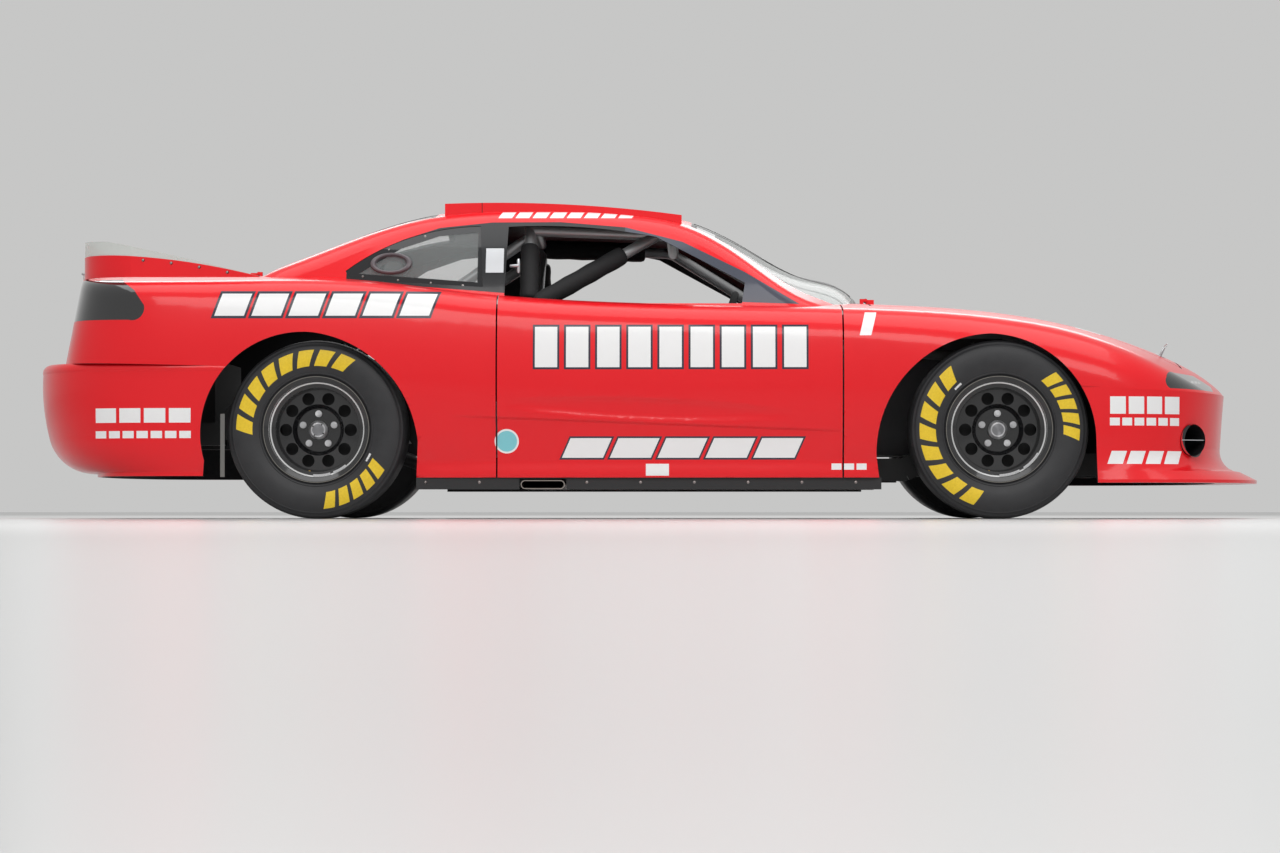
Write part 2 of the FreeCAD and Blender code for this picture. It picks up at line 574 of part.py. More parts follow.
def spoiler_block(inset, z_low, z_high):
    """The deck's edge in plan, from the back of the cabin round the tail, as a standing block."""
    half, tail = 846 - inset, REAR_AXLE - 962 + inset
    return outline_xy([("line", REAR_AXLE - 180, -half), ("line", REAR_AXLE - 726, -half),
                       ("arc", REAR_AXLE - 888 + inset, -765 + inset, tail + 18, -600), ("arc", tail, 0, tail + 18, 600),
                       ("arc", REAR_AXLE - 888 + inset, 765 - inset, REAR_AXLE - 726, half),
                       ("line", REAR_AXLE - 180, half)], z_low, z_high)


SPOILER_LINE = [
    ("line", REAR_AXLE - 150, 800), ("line", REAR_AXLE - 180, 930), ("arc", REAR_AXLE - 420, 985, REAR_AXLE - 1000, 1026),
    ("line", REAR_AXLE - 1000, 800)]
BLADE_LINE = [
    ("line", REAR_AXLE - 150, 800), ("line", REAR_AXLE - 180, 931), ("arc", REAR_AXLE - 470, 1004, REAR_AXLE - 820, 1080),
    ("line", REAR_AXLE - 1000, 1026 + size("blade_rise")), ("line", REAR_AXLE - 1000, 800)]
under_base = outline_xz(SPOILER_LINE, -1200, 1200)
under_blade = outline_xz(BLADE_LINE, -1200, 1200)
base_wall, blade_wall = 8.0, size("blade_thickness")
base_ring = spoiler_block(0, 940, 1200).cut(spoiler_block(base_wall, 930, 1210))
blade_ring = spoiler_block(1.5, 940, 1200).cut(spoiler_block(1.5 + blade_wall, 930, 1210))
spoiler_base = base_ring.common(under_base).cut(body_outer)
seat_block = under_base.copy()
seat_block.translate(Vector(0, 0, SEAT))
spoiler_blade = blade_ring.common(under_blade).cut(seat_block).cut(body_outer)
lid_zone = box(-FAR, FAR, -DECK_HALF, DECK_HALF, 0, FAR)
lid_clear = box(-FAR, FAR, -DECK_HALF - MOVE, DECK_HALF + MOVE, 0, FAR)
spoiler_middle = largest(spoiler_base.common(lid_zone))
blade_middle = largest(spoiler_blade.common(lid_zone))
spoiler_sides = both_sides(left_one(spoiler_base.cut(lid_clear)))
blade_sides = both_sides(left_one(spoiler_blade.cut(lid_clear)))

PANELS = [
    ("hood", hood), ("decklid", decklid), ("roof", roof), ("nose_panel", nose_panel), ("tail_panel", tail_panel),
    ("cowl_panel", cowl_panel), ("rear_shelf", rear_shelf),
    ("fenders", both_sides(fender_left)), ("doors", both_sides(door_left)),
    ("quarter_panels", both_sides(quarter_left)),
    ("front_bumper", front_bumper), ("rear_bumper", rear_bumper),
    ("windshield", windshield), ("rear_window", rear_window), ("quarter_windows", side_windows),
    ("roof_rails", roof_rails), ("headlamp_covers", both_sides(headlamp_shape)),
    ("tail_lamp_covers", both_sides(tail_lamp_shape)),
    ("spoiler_base", spoiler_middle), ("spoiler_blade", blade_middle),
    ("spoiler_base_sides", spoiler_sides), ("spoiler_blade_sides", blade_sides)]
for name, shape in PANELS:
    feature(name, shape)

# ---------------------------------------------------------------- turned and patterned pieces
def plane_of(body, role):
    """One of the body's own origin planes or axes."""
    return next(f for f in body.Origin.OriginFeatures if f.Role == role)


def new_sketch(body, role):
    sketch = body.newObject("Sketcher::SketchObject", body.Name + "Sketch")
    sketch.AttachmentSupport = [(plane_of(body, role), "")]
    sketch.MapMode = "FlatFace"
    return sketch


def hold(sketch, kind, first, second, formula):
    """A constraint whose value is a formula of the sheet's cells."""
    count = sketch.ConstraintCount
    sketch.addConstraint(Sketcher.Constraint(kind, *first, *second, 1.0 + count))
    sketch.setExpression(f"Constraints[{count}]", formula)


def polygon_sketch(body, role, corners):
    """A closed outline whose corners are each held from the origin by two formulas."""
    sketch = new_sketch(body, role)
    count = len(corners)
    for n in range(count):
        a, b = 2 * math.pi * n / count, 2 * math.pi * (n + 1) / count
        sketch.addGeometry(Part.LineSegment(Vector(100 * math.cos(a), 100 * math.sin(a), 0),
                                            Vector(100 * math.cos(b), 100 * math.sin(b), 0)), False)
    for n in range(count):
        sketch.addConstraint(Sketcher.Constraint("Coincident", n, 2, (n + 1) % count, 1))
    for n, (across, up) in enumerate(corners):
        hold(sketch, "DistanceX", (-1, 1), (n, 1), across)
        hold(sketch, "DistanceY", (-1, 1), (n, 1), up)
    return sketch


def circle_sketch(body, role, across, up, radius):
    sketch = new_sketch(body, role)
    sketch.addGeometry(Part.Circle(Vector(10, 10, 0), Vector(0, 0, 1), 5), False)
    hold(sketch, "DistanceX", (-1, 1), (0, 3), across)
    hold(sketch, "DistanceY", (-1, 1), (0, 3), up)
    count = sketch.ConstraintCount
    sketch.addConstraint(Sketcher.Constraint("Radius", 0, 5.0))
    sketch.setExpression(f"Constraints[{count}]", radius)
    return sketch


def revolve(body, sketch, axis="V_Axis"):
    turn = body.newObject("PartDesign::Revolution", body.Name + "Turn")
    turn.Profile = sketch
    turn.ReferenceAxis = (sketch, [axis])
    turn.Angle = 360
    return turn


def ring_of(body, source, count):
    """Repeats a feature about the body's Y axis."""
    ring = body.newObject("PartDesign::PolarPattern", source.Name + "Ring")
    ring.Originals = [source]
    ring.Axis = (plane_of(body, "Y_Axis"), [""])
    ring.Angle = 360
    if isinstance(count, str):
        ring.setExpression("Occurrences", count)
    else:
        ring.Occurrences = count
    body.Tip = ring
    return ring


def through_pocket(body, sketch):
    cut = body.newObject("PartDesign::Pocket", body.Name + "Cut")
    cut.Profile = sketch
    cut.Type = 1                                       # through all
    cut.SideType = "Symmetric"
    return cut


FACE_Y = "(-Sizes.rim_width / 2 + Sizes.disc_setback)"      # wheel centre's outer face, outboard is -Y
HUB_Y = f"({FACE_Y} + Sizes.disc_wall + Sizes.seat_clearance)"
RIM_R = "(Sizes.rim_flange_diameter / 2)"
BEAD_R = "(Sizes.bead_diameter / 2)"
WALL = "Sizes.barrel_wall"
RIM_Y = "(Sizes.rim_width / 2)"


def make_wheel(name):
    """Steel wheel: barrel with a drop centre, dished centre with vent windows and stud holes."""
    body = doc.addObject("PartDesign::Body", name)
    body.Label = name
    well = f"{BEAD_R} - 22"
    corners = [
        (RIM_R, f"-{RIM_Y}"), (RIM_R, f"-{RIM_Y} + 6"), (BEAD_R, f"-{RIM_Y} + 10"), (BEAD_R, f"-{RIM_Y} + 42"),
        (well, f"-{RIM_Y} + 56"), (well, f"-{RIM_Y} + 116"), (BEAD_R, f"-{RIM_Y} + 132"), (BEAD_R, f"{RIM_Y} - 10"),
        (RIM_R, f"{RIM_Y} - 6"), (RIM_R, RIM_Y), (f"{RIM_R} - 5", RIM_Y), (f"{BEAD_R} - {WALL}", f"{RIM_Y} - 12"),
        (f"{BEAD_R} - {WALL}", f"-{RIM_Y} + 136"), (f"{well} - {WALL}", f"-{RIM_Y} + 119"),
        (f"{well} - {WALL}", f"{FACE_Y} - 20 + Sizes.disc_wall"), ("104", f"{FACE_Y} - 26 + Sizes.disc_wall"),
        ("86", f"{FACE_Y} + Sizes.disc_wall"),
        ("Sizes.hub_nose_radius + Sizes.seat_clearance", f"{FACE_Y} + Sizes.disc_wall"),
        ("Sizes.hub_nose_radius + Sizes.seat_clearance", FACE_Y), ("84", FACE_Y), ("100", f"{FACE_Y} - 26"),
        (f"{well} - {WALL}", f"{FACE_Y} - 20"), (f"{well} - {WALL}", f"-{RIM_Y} + 54"),
        (f"{BEAD_R} - {WALL}", f"-{RIM_Y} + 40"), (f"{BEAD_R} - {WALL}", f"-{RIM_Y} + 12"), (f"{RIM_R} - 5", f"-{RIM_Y}")]
    revolve(body, polygon_sketch(body, "XY_Plane", corners))
    window = circle_sketch(body, "XZ_Plane", "Sizes.window_circle", "0", "Sizes.window_radius")
    ring_of(body, through_pocket(body, window), "Sizes.window_count")
    hole = circle_sketch(body, "XZ_Plane", "0", "Sizes.stud_circle / 2", "Sizes.stud_radius + 0.5")
    ring_of(body, through_pocket(body, hole), 5)
    return body


def make_tyre(name):
    """Racing slick: tread, shoulders, bulging sidewalls and beads, hollow inside."""
    body = doc.addObject("PartDesign::Body", name)
    body.Label = name
    outer_r, half = "(Sizes.tyre_diameter / 2)", "(Sizes.tyre_section / 2)"
    bead = f"{BEAD_R} + Sizes.seat_clearance"
    corners = [
        (outer_r, f"-{half} + 28"), (f"{outer_r} - 12", f"-{half} + 12"), (f"{outer_r} - 70", f"-{half}"),
        (f"{RIM_R} + 12", f"-{half} + 8"), (f"{RIM_R} + 1", f"-{RIM_Y} + 6.5"), (bead, f"-{RIM_Y} + 10.8"),
        (bead, f"-{RIM_Y} + 34"), (f"{RIM_R} + 8", f"-{RIM_Y} + 22"), (f"{outer_r} - 16", f"-{half} + 30"),
        (f"{outer_r} - 16", f"{half} - 30"), (f"{RIM_R} + 8", f"{RIM_Y} - 22"), (bead, f"{RIM_Y} - 34"),
        (bead, f"{RIM_Y} - 10.8"), (f"{RIM_R} + 1", f"{RIM_Y} - 6.5"), (f"{RIM_R} + 12", f"{half} - 8"),
        (f"{outer_r} - 70", half), (f"{outer_r} - 12", f"{half} - 12"), (outer_r, f"{half} - 28")]
    revolve(body, polygon_sketch(body, "XY_Plane", corners))
    return body


def make_hub(name):
    """Hub with its nose through the wheel, brake disc, studs and nuts."""
    body = doc.addObject("PartDesign::Body", name)
    body.Label = name
    disc_r = "(Sizes.brake_disc_diameter / 2)"
    shaft = "Sizes.spindle_radius + Sizes.running_clearance"
    disc_y = f"({HUB_Y} + 36)"
    corners = [
        ("0", f"{HUB_Y} - 46"), ("Sizes.hub_nose_radius - 9", f"{HUB_Y} - 46"), ("Sizes.hub_nose_radius", f"{HUB_Y} - 38"),
        ("Sizes.hub_nose_radius", HUB_Y), ("78", HUB_Y), ("78", f"{HUB_Y} + 14"), ("56", f"{HUB_Y} + 14"),
        ("56", disc_y), (disc_r, disc_y), (disc_r, f"{disc_y} + Sizes.brake_disc_thickness"),
        ("50", f"{disc_y} + Sizes.brake_disc_thickness"), ("50", f"{HUB_Y} + 76"),
        (shaft, f"{HUB_Y} + 76"), (shaft, f"{HUB_Y} - 26"), ("0", f"{HUB_Y} - 26")]
    revolve(body, polygon_sketch(body, "XY_Plane", corners))
    # A pad drawn on the plane grows towards -Y, the outboard side
    stud = body.newObject("PartDesign::Pad", name + "Stud")
    stud.Profile = circle_sketch(body, "XZ_Plane", "0", "Sizes.stud_circle / 2", "Sizes.stud_radius")
    stud.setExpression("Length", f"-({HUB_Y}) + 40")
    ring_of(body, stud, 5)
    nut_sketch = circle_sketch(body, "XZ_Plane", "0", "Sizes.stud_circle / 2", "Sizes.nut_radius")
    nut_sketch.setExpression(".AttachmentOffset.Base.z", f"-({FACE_Y}) + Sizes.seat_clearance")
    nut = body.newObject("PartDesign::Pad", name + "Nut")
    nut.Profile = nut_sketch
    nut.Length = 18
    ring_of(body, nut, 5)
    return body


CORNERS = [   # suffix, wheel centre's x formula, side: -1 right, +1 left
    ("fr", "Sizes.overall_length / 2 - Sizes.front_overhang", -1),
    ("fl", "Sizes.overall_length / 2 - Sizes.front_overhang", 1),
    ("rr", "Sizes.overall_length / 2 - Sizes.front_overhang - Sizes.wheelbase", -1),
    ("rl", "Sizes.overall_length / 2 - Sizes.front_overhang - Sizes.wheelbase", 1)]
wheel_pieces = []
for suffix, axle_x, hand in CORNERS:
    for maker, kind in ((make_wheel, "wheel"), (make_tyre, "tyre"), (make_hub, "hub")):
        piece = maker(f"{kind}_{suffix}")
        if hand > 0:
            piece.Placement = Placement(Vector(), Rotation(Vector(0, 0, 1), 180))
        piece.setExpression(".Placement.Base.x", axle_x)
        piece.setExpression(".Placement.Base.y", f"{hand} * Sizes.track_width / 2")
        piece.setExpression(".Placement.Base.z", "Sizes.tyre_diameter / 2")
        wheel_pieces.append(piece)
doc.recompute()

# ---------------------------------------------------------------- running gear drawn in code
HUB_FACE = size("rim_width") / 2 - size("disc_setback") - size("disc_wall") - SEAT   # outboard of wheel's plane
HUB_BACK = 76 - HUB_FACE                       # hub's inner end, inboard of the wheel's plane
CLEAR = 6.0                                    # between pieces that move past each other
SPINDLE = size("spindle_radius")
PIVOT_Y = WHEEL_Y - size("kingpin_inset")
PIN_R, PIN_GAP = 12.0, 0.05
ARM = size("steering_arm")
UPRIGHT_HALF = 75.0


def spindle_at(x, inner_y, radius=SPINDLE):
    """Spindle from the upright outwards into the left hub."""
    outer = WHEEL_Y + HUB_FACE + 20
    return rod((x, inner_y, AXLE_Z), (x, outer, AXLE_Z), radius)


upright = box(FRONT_AXLE - 26, FRONT_AXLE + 26, PIVOT_Y - 24, WHEEL_Y - HUB_BACK - CLEAR,
              AXLE_Z - UPRIGHT_HALF, AXLE_Z + UPRIGHT_HALF)
arm = box(FRONT_AXLE, FRONT_AXLE + ARM + 16, PIVOT_Y - 15, PIVOT_Y + 15, AXLE_Z - 40, AXLE_Z - 24)
knuckle = fused([upright, arm, spindle_at(FRONT_AXLE, PIVOT_Y)])
for end in (-1, 1):
    foot = Vector(FRONT_AXLE, PIVOT_Y, AXLE_Z + end * (UPRIGHT_HALF + 1))
    knuckle = knuckle.cut(Part.makeCylinder(PIN_R + PIN_GAP, 36, foot, Vector(0, 0, -end)))
knuckle_left = largest(knuckle)


def wishbone(level, end, reach, spread, tube):
    """A-arm: two tubes from the frame to a boss with the kingpin's pin. end: +1 pin up, -1 pin down."""
    boss_z = AXLE_Z - end * (UPRIGHT_HALF + SEAT)
    boss = Part.makeCylinder(22, 46, Vector(FRONT_AXLE, PIVOT_Y, boss_z), Vector(0, 0, -end))
    pin = Part.makeCylinder(PIN_R, 30 + SEAT, Vector(FRONT_AXLE, PIVOT_Y, boss_z - end), Vector(0, 0, end))
    middle = (FRONT_AXLE, PIVOT_Y, boss_z - end * 24)
    legs = [rod(middle, (FRONT_AXLE + s * spread, reach, level), tube) for s in (-1, 1)]
    cross = rod((FRONT_AXLE - spread - 30, reach, level), (FRONT_AXLE + spread + 30, reach, level), tube + 3)
    return fused([boss, pin, cross] + legs)


FRONT_Y = 390.0                                # car centre to the front frame rails
RAIL_HALF = size("rail_width") / 2
TOWER_HALF = 25.0
COIL_Y, SPRING_SEAT = 506.0, AXLE_Z - 112
lower_arm = wishbone(AXLE_Z - 130, 1, FRONT_Y + RAIL_HALF + 16 + SEAT, 130, 13)
lower_arm = lower_arm.fuse(box(FRONT_AXLE - 96, FRONT_AXLE + 96, COIL_Y - 44, COIL_Y + 44, SPRING_SEAT - 12, SPRING_SEAT))
upper_arm = wishbone(AXLE_Z + 140, -1, FRONT_Y + 15 + TOWER_HALF + 14 + SEAT, 110, 11)
front_arms = Part.makeCompound(both_sides(lower_arm).Solids + both_sides(upper_arm).Solids)

CAP_Z = AXLE_Z + 344                           # underside of the towers' caps
front_coil = rod((FRONT_AXLE, COIL_Y, SPRING_SEAT + SEAT), (FRONT_AXLE, COIL_Y, CAP_Z - SEAT), 46)
REAR_Y, REAR_COIL_R = 500.0, 56.0
rear_coil_y = REAR_Y - RAIL_HALF - REAR_COIL_R - 2
rear_coil = rod((REAR_AXLE, rear_coil_y, AXLE_Z + size("axle_tube_radius") + SEAT),
                (REAR_AXLE, rear_coil_y, CAP_Z - SEAT), REAR_COIL_R)
coil_springs = Part.makeCompound(both_sides(front_coil).Solids + both_sides(rear_coil).Solids)

# rack: a bar that slides across the car, its ends under the steering arms
RACK_X, RACK_Z = FRONT_AXLE + ARM, AXLE_Z - 40 - CLEAR - 13
rack_bar = rod((RACK_X, -PIVOT_Y, RACK_Z), (RACK_X, PIVOT_Y, RACK_Z), 9)
rack_ends = [Part.makeCylinder(16, 26, Vector(RACK_X, s * PIVOT_Y, RACK_Z - 13)) for s in (-1, 1)]
rack_bar = fused([rack_bar] + rack_ends)
housing = rod((RACK_X, -260, RACK_Z), (RACK_X, 260, RACK_Z), 30)
RAIL_FACE = FRONT_Y - RAIL_HALF - SEAT
for feet in (box(RACK_X - 25, RACK_X + 25, 230, RAIL_FACE, RACK_Z - 80, RACK_Z),
             box(RACK_X - 25, RACK_X + 25, -RAIL_FACE, -230, RACK_Z - 80, RACK_Z)):
    housing = housing.fuse(feet)
rack_housing = housing.cut(rod((RACK_X, -270, RACK_Z), (RACK_X, 270, RACK_Z), 9 + size("running_clearance")))
rack_housing = rack_housing.cut(both_sides(rod((RACK_X, 261, RACK_Z), (RACK_X, 380, RACK_Z), 9 + CLEAR)))

# rear axle: tubes, round housing, spindles for the hubs
TUBE = size("axle_tube_radius")
axle_end = WHEEL_Y - HUB_BACK - CLEAR
axle_parts = [rod((REAR_AXLE, -axle_end, AXLE_Z), (REAR_AXLE, axle_end, AXLE_Z), TUBE),
              Part.makeCylinder(140, 170, Vector(REAR_AXLE - 85, 0, AXLE_Z), Vector(1, 0, 0)),
              Part.makeCylinder(60, 110, Vector(REAR_AXLE + 60, 0, AXLE_Z), Vector(1, 0, 0))]
axle_parts += [spindle_at(REAR_AXLE, axle_end - 20), mirrored(spindle_at(REAR_AXLE, axle_end - 20))]
rear_axle = fused(axle_parts)

# ---------------------------------------------------------------- frame and cage
RAIL_W, RAIL_D, UNDER = size("rail_width"), size("rail_depth"), size("frame_height")
MAIN_Y = size("frame_half_width")
RAIL_Z = UNDER + RAIL_D / 2
SIDE_REAR, SIDE_FRONT = REAR_AXLE + 440, FRONT_AXLE - 600
# frame bars: start, end (left side); a bar on the centreline's other side is its mirror image
SIDE_BARS = [
    ((SIDE_REAR, MAIN_Y, RAIL_Z), (SIDE_FRONT, MAIN_Y, RAIL_Z)),
    ((SIDE_FRONT - 30, FRONT_Y, RAIL_Z), (FRONT_AXLE - 330, FRONT_Y, RAIL_Z)),
    ((FRONT_AXLE - 340, FRONT_Y, RAIL_Z), (FRONT_AXLE - 300, FRONT_Y, RAIL_Z + 20)),
    ((FRONT_AXLE - 320, FRONT_Y, RAIL_Z + 20), (FRONT_AXLE + 600, FRONT_Y, RAIL_Z + 20)),
    ((SIDE_REAR + 30, REAR_Y, RAIL_Z), (REAR_AXLE + 240, REAR_Y, AXLE_Z + 175)),
    ((REAR_AXLE + 262, REAR_Y, AXLE_Z + 175), (REAR_AXLE - 280, REAR_Y, AXLE_Z + 175)),
    ((REAR_AXLE - 260, REAR_Y, AXLE_Z + 175), (REAR_AXLE - 420, REAR_Y, AXLE_Z - 10)),
    ((REAR_AXLE - 400, REAR_Y, AXLE_Z - 10), (TAIL_TIP + 210, REAR_Y, AXLE_Z - 10))]
CROSS_BARS = [   # x, half width, height
    (SIDE_REAR + 30, MAIN_Y, RAIL_Z), (SIDE_FRONT - 30, MAIN_Y, RAIL_Z), (REAR_AXLE + 240, REAR_Y, AXLE_Z + 175),
    (FRONT_AXLE + 570, FRONT_Y, RAIL_Z + 20), (FRONT_AXLE - 250, FRONT_Y, RAIL_Z + 20),
    (TAIL_TIP + 240, REAR_Y, AXLE_Z - 10), (TAIL_TIP + 500, REAR_Y, AXLE_Z - 10)]
bars = []
for start, end in SIDE_BARS:
    bar = beam(start, end, RAIL_W, RAIL_D)
    bars += [bar, mirrored(bar)]
for x, half, z in CROSS_BARS:
    bars.append(box(x - RAIL_W / 2, x + RAIL_W / 2, -half, half, z - RAIL_D / 2 + 5, z + RAIL_D / 2 - 5))
# jack pads under the main rails
PAD_HALF, PAD_DROP = 60.0, 6.0
pad = box(-PAD_HALF, PAD_HALF, MAIN_Y - RAIL_W / 2, MAIN_Y + RAIL_W / 2, UNDER - PAD_DROP, UNDER + 1)
bars += [pad, mirrored(pad)]
# towers that carry the springs: x, y of the post, post's foot, how far the cap reaches inboard and outboard
TOWERS = [(FRONT_AXLE, FRONT_Y + 15, RAIL_Z + 55, TOWER_HALF, 140), (REAR_AXLE, REAR_Y, AXLE_Z + 175, 150, TOWER_HALF)]
for x, y, foot_z, inboard, outboard in TOWERS:
    post = box(x - 70, x + 70, y - TOWER_HALF, y + TOWER_HALF, foot_z, CAP_Z + 2)
    cap = box(x - 70, x + 70, y - inboard, y + outboard, CAP_Z, CAP_Z + 10)
    bars += [post, cap, mirrored(post), mirrored(cap)]
frame = fused(bars)

TUBE_R = size("cage_tube_radius")
HOOP_X, FRONT_HOOP_X = DOOR_REAR + 110, FRONT_AXLE - 720
FLOOR_TOP = UNDER + RAIL_D
# cage tubes on the left side; first and last points of each, with the bends between
CAGE_SIDE = [
    [(HOOP_X, MAIN_Y, FLOOR_TOP), (HOOP_X, MAIN_Y + 50, 800), (HOOP_X, 520, 1160), (HOOP_X, 0, 1185)],
    [(FRONT_HOOP_X, MAIN_Y, FLOOR_TOP), (FRONT_HOOP_X - 10, MAIN_Y + 45, 800), (80, 500, 1125), (HOOP_X, 520, 1145)],
    [(HOOP_X, 500, 1120), (REAR_AXLE + 60, REAR_Y, AXLE_Z + 260), (REAR_AXLE - 240, REAR_Y, AXLE_Z + 200)],
    [(FRONT_HOOP_X, MAIN_Y + 40, 690), (FRONT_AXLE - 100, 405, AXLE_Z + 300), (FRONT_AXLE + 500, FRONT_Y, RAIL_Z + 50)]]
DOOR_BARS = [330, 440, 550, 660]
cage = []
for points in CAGE_SIDE:
    tube = bent_tube(points, TUBE_R, 90)
    cage += [tube, mirrored(tube)]
for z in DOOR_BARS:
    bar = bent_tube([(HOOP_X, MAIN_Y + 40, z), (HOOP_X + 150, MAIN_Y + 150, z), (FRONT_HOOP_X - 150, MAIN_Y + 150, z),
                     (FRONT_HOOP_X, MAIN_Y + 40, z)], 20, 90)
    cage += [bar, mirrored(bar)]
cage += [rod((HOOP_X, -MAIN_Y - 44, 690), (HOOP_X, MAIN_Y + 44, 690), TUBE_R),
         rod((HOOP_X, -MAIN_Y - 40, 330), (HOOP_X, 500, 1120), TUBE_R),
         rod((FRONT_HOOP_X, -MAIN_Y - 40, 690), (FRONT_HOOP_X, MAIN_Y + 40, 690), TUBE_R),
         rod((90, -500, 1122), (90, 500, 1122), TUBE_R),
         rod((HOOP_X, -676, 828), (35, -502, 1127), TUBE_R)]
roll_cage = largest(fused(cage).cut(frame))
# ---------------------------------------------------------------- driveline, tanks and cabin fittings
EXIT_X, EXIT_HALF, EXIT_DROP = REAR_AXLE + 878, 85.0, 17.0
exhaust_z = UNDER - SEAT - EXIT_DROP


def oval(half, rise, grow):
    """A flattened tube's outline, square to X at the pipe's front end."""
    r = rise + grow
    flat = half - rise
    x, y = FRONT_AXLE - 460, -300
    a, b = Vector(x, y - flat, exhaust_z + r), Vector(x, y + flat, exhaust_z + r)
    c, d = Vector(x, y + flat, exhaust_z - r), Vector(x, y - flat, exhaust_z - r)
    return Part.Wire([Part.LineSegment(a, b).toShape(), Part.Arc(b, Vector(x, y + flat + r, exhaust_z), c).toShape(),
                      Part.LineSegment(c, d).toShape(), Part.Arc(d, Vector(x, y - flat - r, exhaust_z), a).toShape()])


def exhaust_path():
    bend = 160.0
    start, corner = Vector(FRONT_AXLE - 460, -300, exhaust_z), Vector(EXIT_X, -300, exhaust_z)
    end = Vector(EXIT_X, -HALF + 50, exhaust_z)
    first, last = corner + Vector(bend, 0, 0), corner + Vector(0, -bend, 0)
    slope = bend * (1 - math.sqrt(0.5))
    middle = corner + Vector(slope, -slope, 0)
    return Part.Wire([Part.LineSegment(start, first).toShape(), Part.Arc(first, middle, last).toShape(),
                      Part.LineSegment(last, end).toShape()])


pipe_outer = exhaust_path().makePipeShell([oval(EXIT_HALF, EXIT_DROP, 0)], True, False)
pipe_inner = exhaust_path().makePipeShell([oval(EXIT_HALF - 3, EXIT_DROP - 3, 0)], True, False)
exhaust = pipe_outer.cut(pipe_inner)
exhaust_pipe = largest(exhaust)

STRIP_Y = HALF - 66
strip = box(REAR_AXLE + 387, FRONT_AXLE - 455, STRIP_Y - 6, STRIP_Y + 6, SILL - size("strip_drop"), SILL)
notch = box(EXIT_X - EXIT_HALF - 6, EXIT_X + EXIT_HALF + 6, -FAR, -100, 0, exhaust_z + EXIT_DROP + 6)
strip_right = mirrored(strip).cut(notch)
rocker_strips = Part.makeCompound(strip.Solids + strip_right.Solids)

PAN_REAR, PAN_FRONT, PAN_HALF = SIDE_REAR - 60, FRONT_HOOP_X + 52, 800.0
TUNNEL_HALF, TUNNEL_TOP = 135.0, AXLE_Z + 130
pan = fused([box(PAN_REAR, PAN_FRONT, -PAN_HALF, PAN_HALF, FLOOR_TOP, FLOOR_TOP + 3),
             box(PAN_REAR, PAN_FRONT, -TUNNEL_HALF, TUNNEL_HALF, FLOOR_TOP, TUNNEL_TOP)])
pan = pan.cut(box(PAN_REAR - 1, PAN_FRONT + 1, 3 - TUNNEL_HALF, TUNNEL_HALF - 3, FLOOR_TOP - 1, TUNNEL_TOP - 3))
floor_pan = largest(pan.cut(roll_cage).cut(frame))
WALL_X = PAN_FRONT + SEAT
wall = box(WALL_X, WALL_X + 3, -PAN_HALF, PAN_HALF, FLOOR_TOP - 20, 835).cut(roll_cage).cut(frame)
wall = wall.cut(rod((WALL_X - 10, 0, AXLE_Z + 10), (WALL_X + 10, 0, AXLE_Z + 10), 126))
firewall = largest(wall.common(body_loft(size("door_thickness") + 1, SILL - 20, BODY_STATIONS[4:11])))
rear_wall = box(PAN_REAR + 1, PAN_REAR + 4, -700, 700, FLOOR_TOP + 3 + SEAT, 880).cut(roll_cage).cut(frame)
rear_wall = rear_wall.cut(box(PAN_REAR - 9, PAN_REAR + 9, -TUNNEL_HALF - SEAT, TUNNEL_HALF + SEAT, 0, TUNNEL_TOP + SEAT))
rear_bulkhead = largest(rear_wall)

ENGINE_X, ENGINE_Z = FRONT_AXLE - 560, AXLE_Z - 91
GEAR_Z = AXLE_Z + 10
case = fused([rod((ENGINE_X - 34, 0, GEAR_Z), (ENGINE_X - SEAT, 0, GEAR_Z), 175),
              rod((ENGINE_X - 260, 0, GEAR_Z), (ENGINE_X - 40, 0, GEAR_Z), 112),
              rod((ENGINE_X - 560, 0, AXLE_Z), (ENGINE_X - 240, 0, AXLE_Z), 60)])
transmission = largest(case)

SEAT_X, SEAT_Y, SEAT_HALF = -262.0, 372.0, 232.0
SEAT_Z = FLOOR_TOP + 3 + SEAT
bucket = outline_xz([("line", SEAT_X, SEAT_Z), ("line", SEAT_X + 420, SEAT_Z), ("line", SEAT_X + 436, SEAT_Z + 190),
                     ("line", SEAT_X + 170, SEAT_Z + 235), ("arc", SEAT_X + 60, SEAT_Z + 300, SEAT_X + 36, SEAT_Z + 420),
                     ("line", SEAT_X + 20, SEAT_Z + 640), ("line", SEAT_X - 96, SEAT_Z + 650),
                     ("line", SEAT_X - 130, SEAT_Z + 300)], SEAT_Y - SEAT_HALF, SEAT_Y + SEAT_HALF)
room = outline_xz([("line", SEAT_X + 500, SEAT_Z + 70), ("line", SEAT_X + 40, SEAT_Z + 44),
                   ("arc", SEAT_X - 60, SEAT_Z + 110, SEAT_X - 100, SEAT_Z + 300), ("line", SEAT_X - 62, SEAT_Z + 900),
                   ("line", SEAT_X + 500, SEAT_Z + 900)], SEAT_Y - SEAT_HALF + 14, SEAT_Y + SEAT_HALF - 14)
seat = largest(bucket.cut(room))

